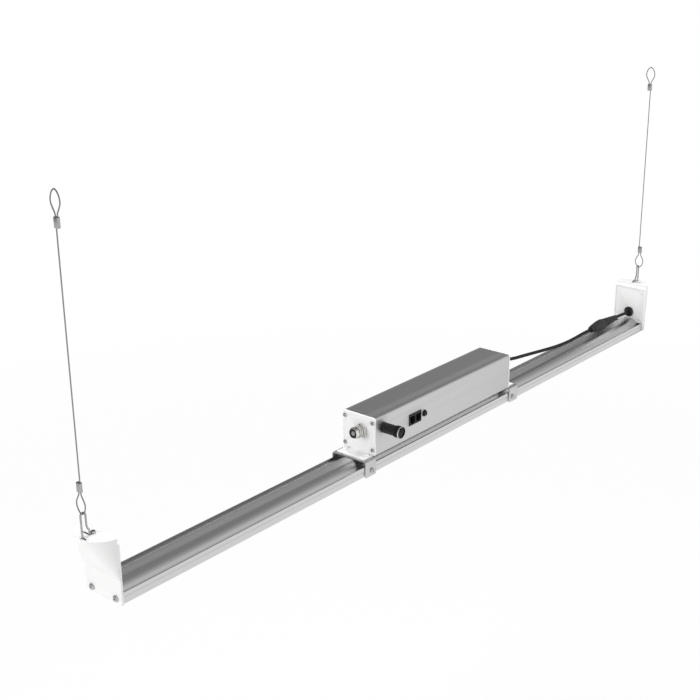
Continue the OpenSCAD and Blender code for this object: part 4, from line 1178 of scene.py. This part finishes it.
class GROWBAR_OT_glands(bpy.types.Operator):
    """Dresses the mains gland and the strain relief of the output lead"""

    bl_idname = "growbar.glands"
    bl_label = "Glands"

    def turn_piece(self, node, name, finish, rows):
        """A ring turned from rows of radius and distance from the end plate, in mm."""
        obj = spun(name, rows, 48)
        if node == "mains_gland_nut":
            flat_sides(obj, half=8.05, low=6.8, high=11.9)
        obj.data.transform(facing("-x", *GLAND_FOOT, 30))
        smooth(obj, 35)
        stand_in(obj, node, finish)

    def execute(self, context):
        r = settings().rounding
        rounded("mains_gland_body", "gland_body", gland_nickel(), r.sheet)
        rounded("mains_gland_locknut", "gland_locknut", gland_nickel(), r.small)
        self.turn_piece("mains_gland_nut", "domed_gland_nut", gland_nickel(), (
            (6.1, 4.1), (8.2, 4.1), (8.5, 4.5), (8.5, 5.3), (6.7, 5.6), (6.7, 6.5),
            (8.6, 6.8), (8.6, 8.5), (7, 8.8), (7, 9.7), (8.6, 10), (8.6, 11.9),
            (6.8, 12.2), (6.8, 13.2), (7.9, 13.5), (7.7, 15.6), (6.9, 17.2), (6.2, 17.8),
            (5.9, 17.6), (5.9, 12), (6.1, 11.8), (6.1, 4.1)))
        self.turn_piece("mains_gland_seal", "gland_seal", seal_rubber(), (
            (0, 9.3), (5.8, 9.3), (5.8, 17.5), (5.2, 18.3), (4.1, 18.3), (3.2, 17.3),
            (2.9, 16.9), (0, 16.9)))
        rounded("lead_strain_relief", "tapered_relief", rubber(), r.sheet)
        return {"FINISHED"}


class GROWBAR_OT_dimmer(bpy.types.Operator):
    """Dresses the dimmer knob, its bright ring and the potentiometer"""

    bl_idname = "growbar.dimmer"
    bl_label = "Dimmer"

    def execute(self, context):
        r = settings().rounding
        rounded("dimmer_knob", "turning_knob", knob_plastic(), r.small)
        ring = spun("knob_ring", (
            (7, 28.4), (8.1, 28.4), (8.15, 29), (7.8, 29.6), (7.1, 29.8), (7, 29.5),
            (7, 28.4)), 64)
        ring.data.transform(facing("-y", *KNOB_FOOT))
        smooth(ring, 35)
        stand_in(ring, "knob_trim_ring", bright_ring())
        for node in ("dimmer_pot", "dimmer_bush_nut", "dimmer_shaft"):
            keep(node, screw_steel())
        return {"FINISHED"}


class GROWBAR_OT_sockets(bpy.types.Operator):
    """Dresses the twin control sockets and the push button"""

    bl_idname = "growbar.sockets"
    bl_label = "Sockets and button"

    def execute(self, context):
        r = settings().rounding
        rounded("control_sockets", "twin_sockets", black_plastic(), r.small)
        keep("socket_contacts", contact_gold())
        rounded("button_collar", "button_ring", black_plastic(), r.small)
        rounded("mode_button", "push_button", knob_plastic(), r.small * 2, 3)
        keep("mode_switch", dark_resin())
        return {"FINISHED"}


class GROWBAR_OT_grommet(bpy.types.Operator):
    """Dresses the grommet where the lead enters the end cap"""

    bl_idname = "growbar.grommet"
    bl_label = "Grommet"

    def execute(self, context):
        rounded("cap_grommet", "lead_grommet", shiny_rubber(), settings().rounding.small * 2)
        return {"FINISHED"}


class GROWBAR_OT_hooks(bpy.types.Operator):
    """Bends the two wire hooks that stand on the caps"""

    bl_idname = "growbar.hooks"
    bl_label = "Hooks"

    def execute(self, context):
        for side, sign in (("left", -1), ("right", 1)):
            route = [at(sign * (CAP_X + p.x), sign * p.y, p.z) for p in hook_route()]
            obj = wire_curve(side + "_bent_hook", through(route, steps=3), HOOK_D * MM)
            take(obj)
            bpy.ops.object.convert(target="MESH")
            smooth(obj, 50)
            stand_in(obj, side + "_hook", hook_steel())
        return {"FINISHED"}


# Stage

# Height and side of the floor, in m
FLOOR_Z = -1.1
FLOOR_SIZE = 14
# The floor's lit share near the object, and how far from its middle that share starts to
# fade and has gone, in m
LIT_SHARE = 0.15
LIT_NEAR, LIT_FAR = 0.8, 2.6
# Strength of the room for the rays that light the object, and on its dark side for glossy
# rays. It is 1 for all others
ROOM_LIGHT = 0.62
DARK_ROOM = 0.27
# The dark side's direction, and the cosines between which the room darkens
DARK_WAY = (0, 0.75, 0.66)
DARK_FROM, DARK_TO = -0.45, 0.48
# What the lamps point at, in m
AIM = Vector((0, 0, -0.38))
# Name, place and size in m, and power in W of each lamp
LAMPS = (
    ("key_lamp", (-4.2, 1.1, 0.8), 1.8, 84),
    ("front_lamp", (0.6, -2.6, 0.5), 1.8, 18),
    ("top_lamp", (0.3, 0.2, 1.7), 1.4, 38),
)


def seen_rays(n):
    """1 for camera, glossy and transmission rays, which all see the white background."""
    path = n.add("LightPath").outputs
    total = path["Is Camera Ray"]
    for name in ("Is Glossy Ray", "Is Transmission Ray"):
        total = n.math("MAXIMUM", total, path[name])
    return total


def dark_side(n):
    """Goes softly from 0 to 1 as a direction turns up towards the back of the room."""
    towards = n.add(
        "VectorMath", {0: n.coords.outputs["Generated"], 1: DARK_WAY}, operation="DOT_PRODUCT")
    return n.spread(towards.outputs["Value"], DARK_FROM, DARK_TO, kind="SMOOTHSTEP")


def white_floor():
    """A pale finish that looks plain white to the rays that see it.

    Near the object a share stays the lit floor, which keeps the object's shadow.
    """
    n = Finish("pale_floor")
    n.finish(Base_Color=(0.8, 0.8, 0.8, 1), Roughness=0.8)
    emit = n.add("Emission", {"Color": (1, 1, 1, 1), "Strength": 1.0})
    away = n.add("VectorMath", {"Vector": n.mapping((1, 1, 0))}, operation="LENGTH")
    share = n.spread(away.outputs["Value"], LIT_NEAR, LIT_FAR, 1 - LIT_SHARE, 1.0)
    white = n.math("MULTIPLY", seen_rays(n), share)
    mix = n.add("MixShader", {0: white, 1: n.shader.outputs[0], 2: emit.outputs[0]})
    n.set(n.tree.nodes["Material Output"].inputs["Surface"], mix.outputs[0])
    return n.material


def white_room(world):
    """Makes the world white for the rays that see it, but darker behind for glossy ones."""
    world.use_nodes = True
    n = Tree(world.node_tree)
    background = n.tree.nodes["Background"]
    n.set(background.inputs["Color"], (1, 1, 1, 1))
    level = n.spread(seen_rays(n), 0.0, 1.0, ROOM_LIGHT, 1.0)
    for_metal = n.spread(dark_side(n), 0.0, 1.0, 1.0, DARK_ROOM)
    glossy = n.add("LightPath").outputs["Is Glossy Ray"]
    strength = n.add("Mix", {0: glossy, 2: level, 3: for_metal})
    n.set(background.inputs["Strength"], strength.outputs[0])


class GROWBAR_OT_stage(bpy.types.Operator):
    """Lights the light bar softly over a plain pale floor"""

    bl_idname = "growbar.stage"
    bl_label = "Stage"

    def execute(self, context):
        scene = context.scene
        scene.view_settings.view_transform = "Standard"
        bpy.ops.object.select_all(action="DESELECT")
        bpy.ops.mesh.primitive_plane_add(size=FLOOR_SIZE, location=(0, 0, FLOOR_Z))
        floor = bpy.context.object
        floor.name = "floor"
        bpy.ops.object.transform_apply(location=True, rotation=False, scale=False)
        floor.data.materials.append(white_floor())
        scene.world = bpy.data.worlds.new("studio")
        white_room(scene.world)
        for name, spot, size, power in LAMPS:
            data = bpy.data.lights.new(name, "AREA")
            data.size = size
            data.energy = power
            lamp = linked(name, data)
            lamp.location = spot
            lamp.visible_glossy = False
            lamp.rotation_euler = (AIM - Vector(spot)).to_track_quat("-Z", "Y").to_euler()
        return {"FINISHED"}


class GROWBAR_PT_panel(bpy.types.Panel):
    """Lists the steps that dress the light bar"""

    bl_idname = "GROWBAR_PT_panel"
    bl_label = "LED Grow Light Bar"
    bl_space_type = "VIEW_3D"
    bl_region_type = "UI"
    bl_category = "Grow Light"

    def draw(self, context):
        for step in STEPS:
            self.layout.operator(step.bl_idname)


STEPS = (
    GROWBAR_OT_camera, GROWBAR_OT_leads, GROWBAR_OT_ropes, GROWBAR_OT_bar, GROWBAR_OT_caps,
    GROWBAR_OT_box, GROWBAR_OT_screws, GROWBAR_OT_glands, GROWBAR_OT_dimmer,
    GROWBAR_OT_sockets, GROWBAR_OT_grommet, GROWBAR_OT_hooks, GROWBAR_OT_stage,
)
CLASSES = (
    GrowBarCamera, GrowBarCords, GrowBarColours, GrowBarRounding, GrowBarSettings, *STEPS,
    GROWBAR_PT_panel,
)


def register():
    for cls in CLASSES:
        bpy.utils.register_class(cls)
    bpy.types.Scene.grow_bar = PointerProperty(type=GrowBarSettings)


def unregister():
    del bpy.types.Scene.grow_bar
    for cls in reversed(CLASSES):
        bpy.utils.unregister_class(cls)


def main():
    register()
    for step in STEPS:
        family, action = step.bl_idname.split(".")
        getattr(getattr(bpy.ops, family), action)()


if __name__ == "__main__":
    main()
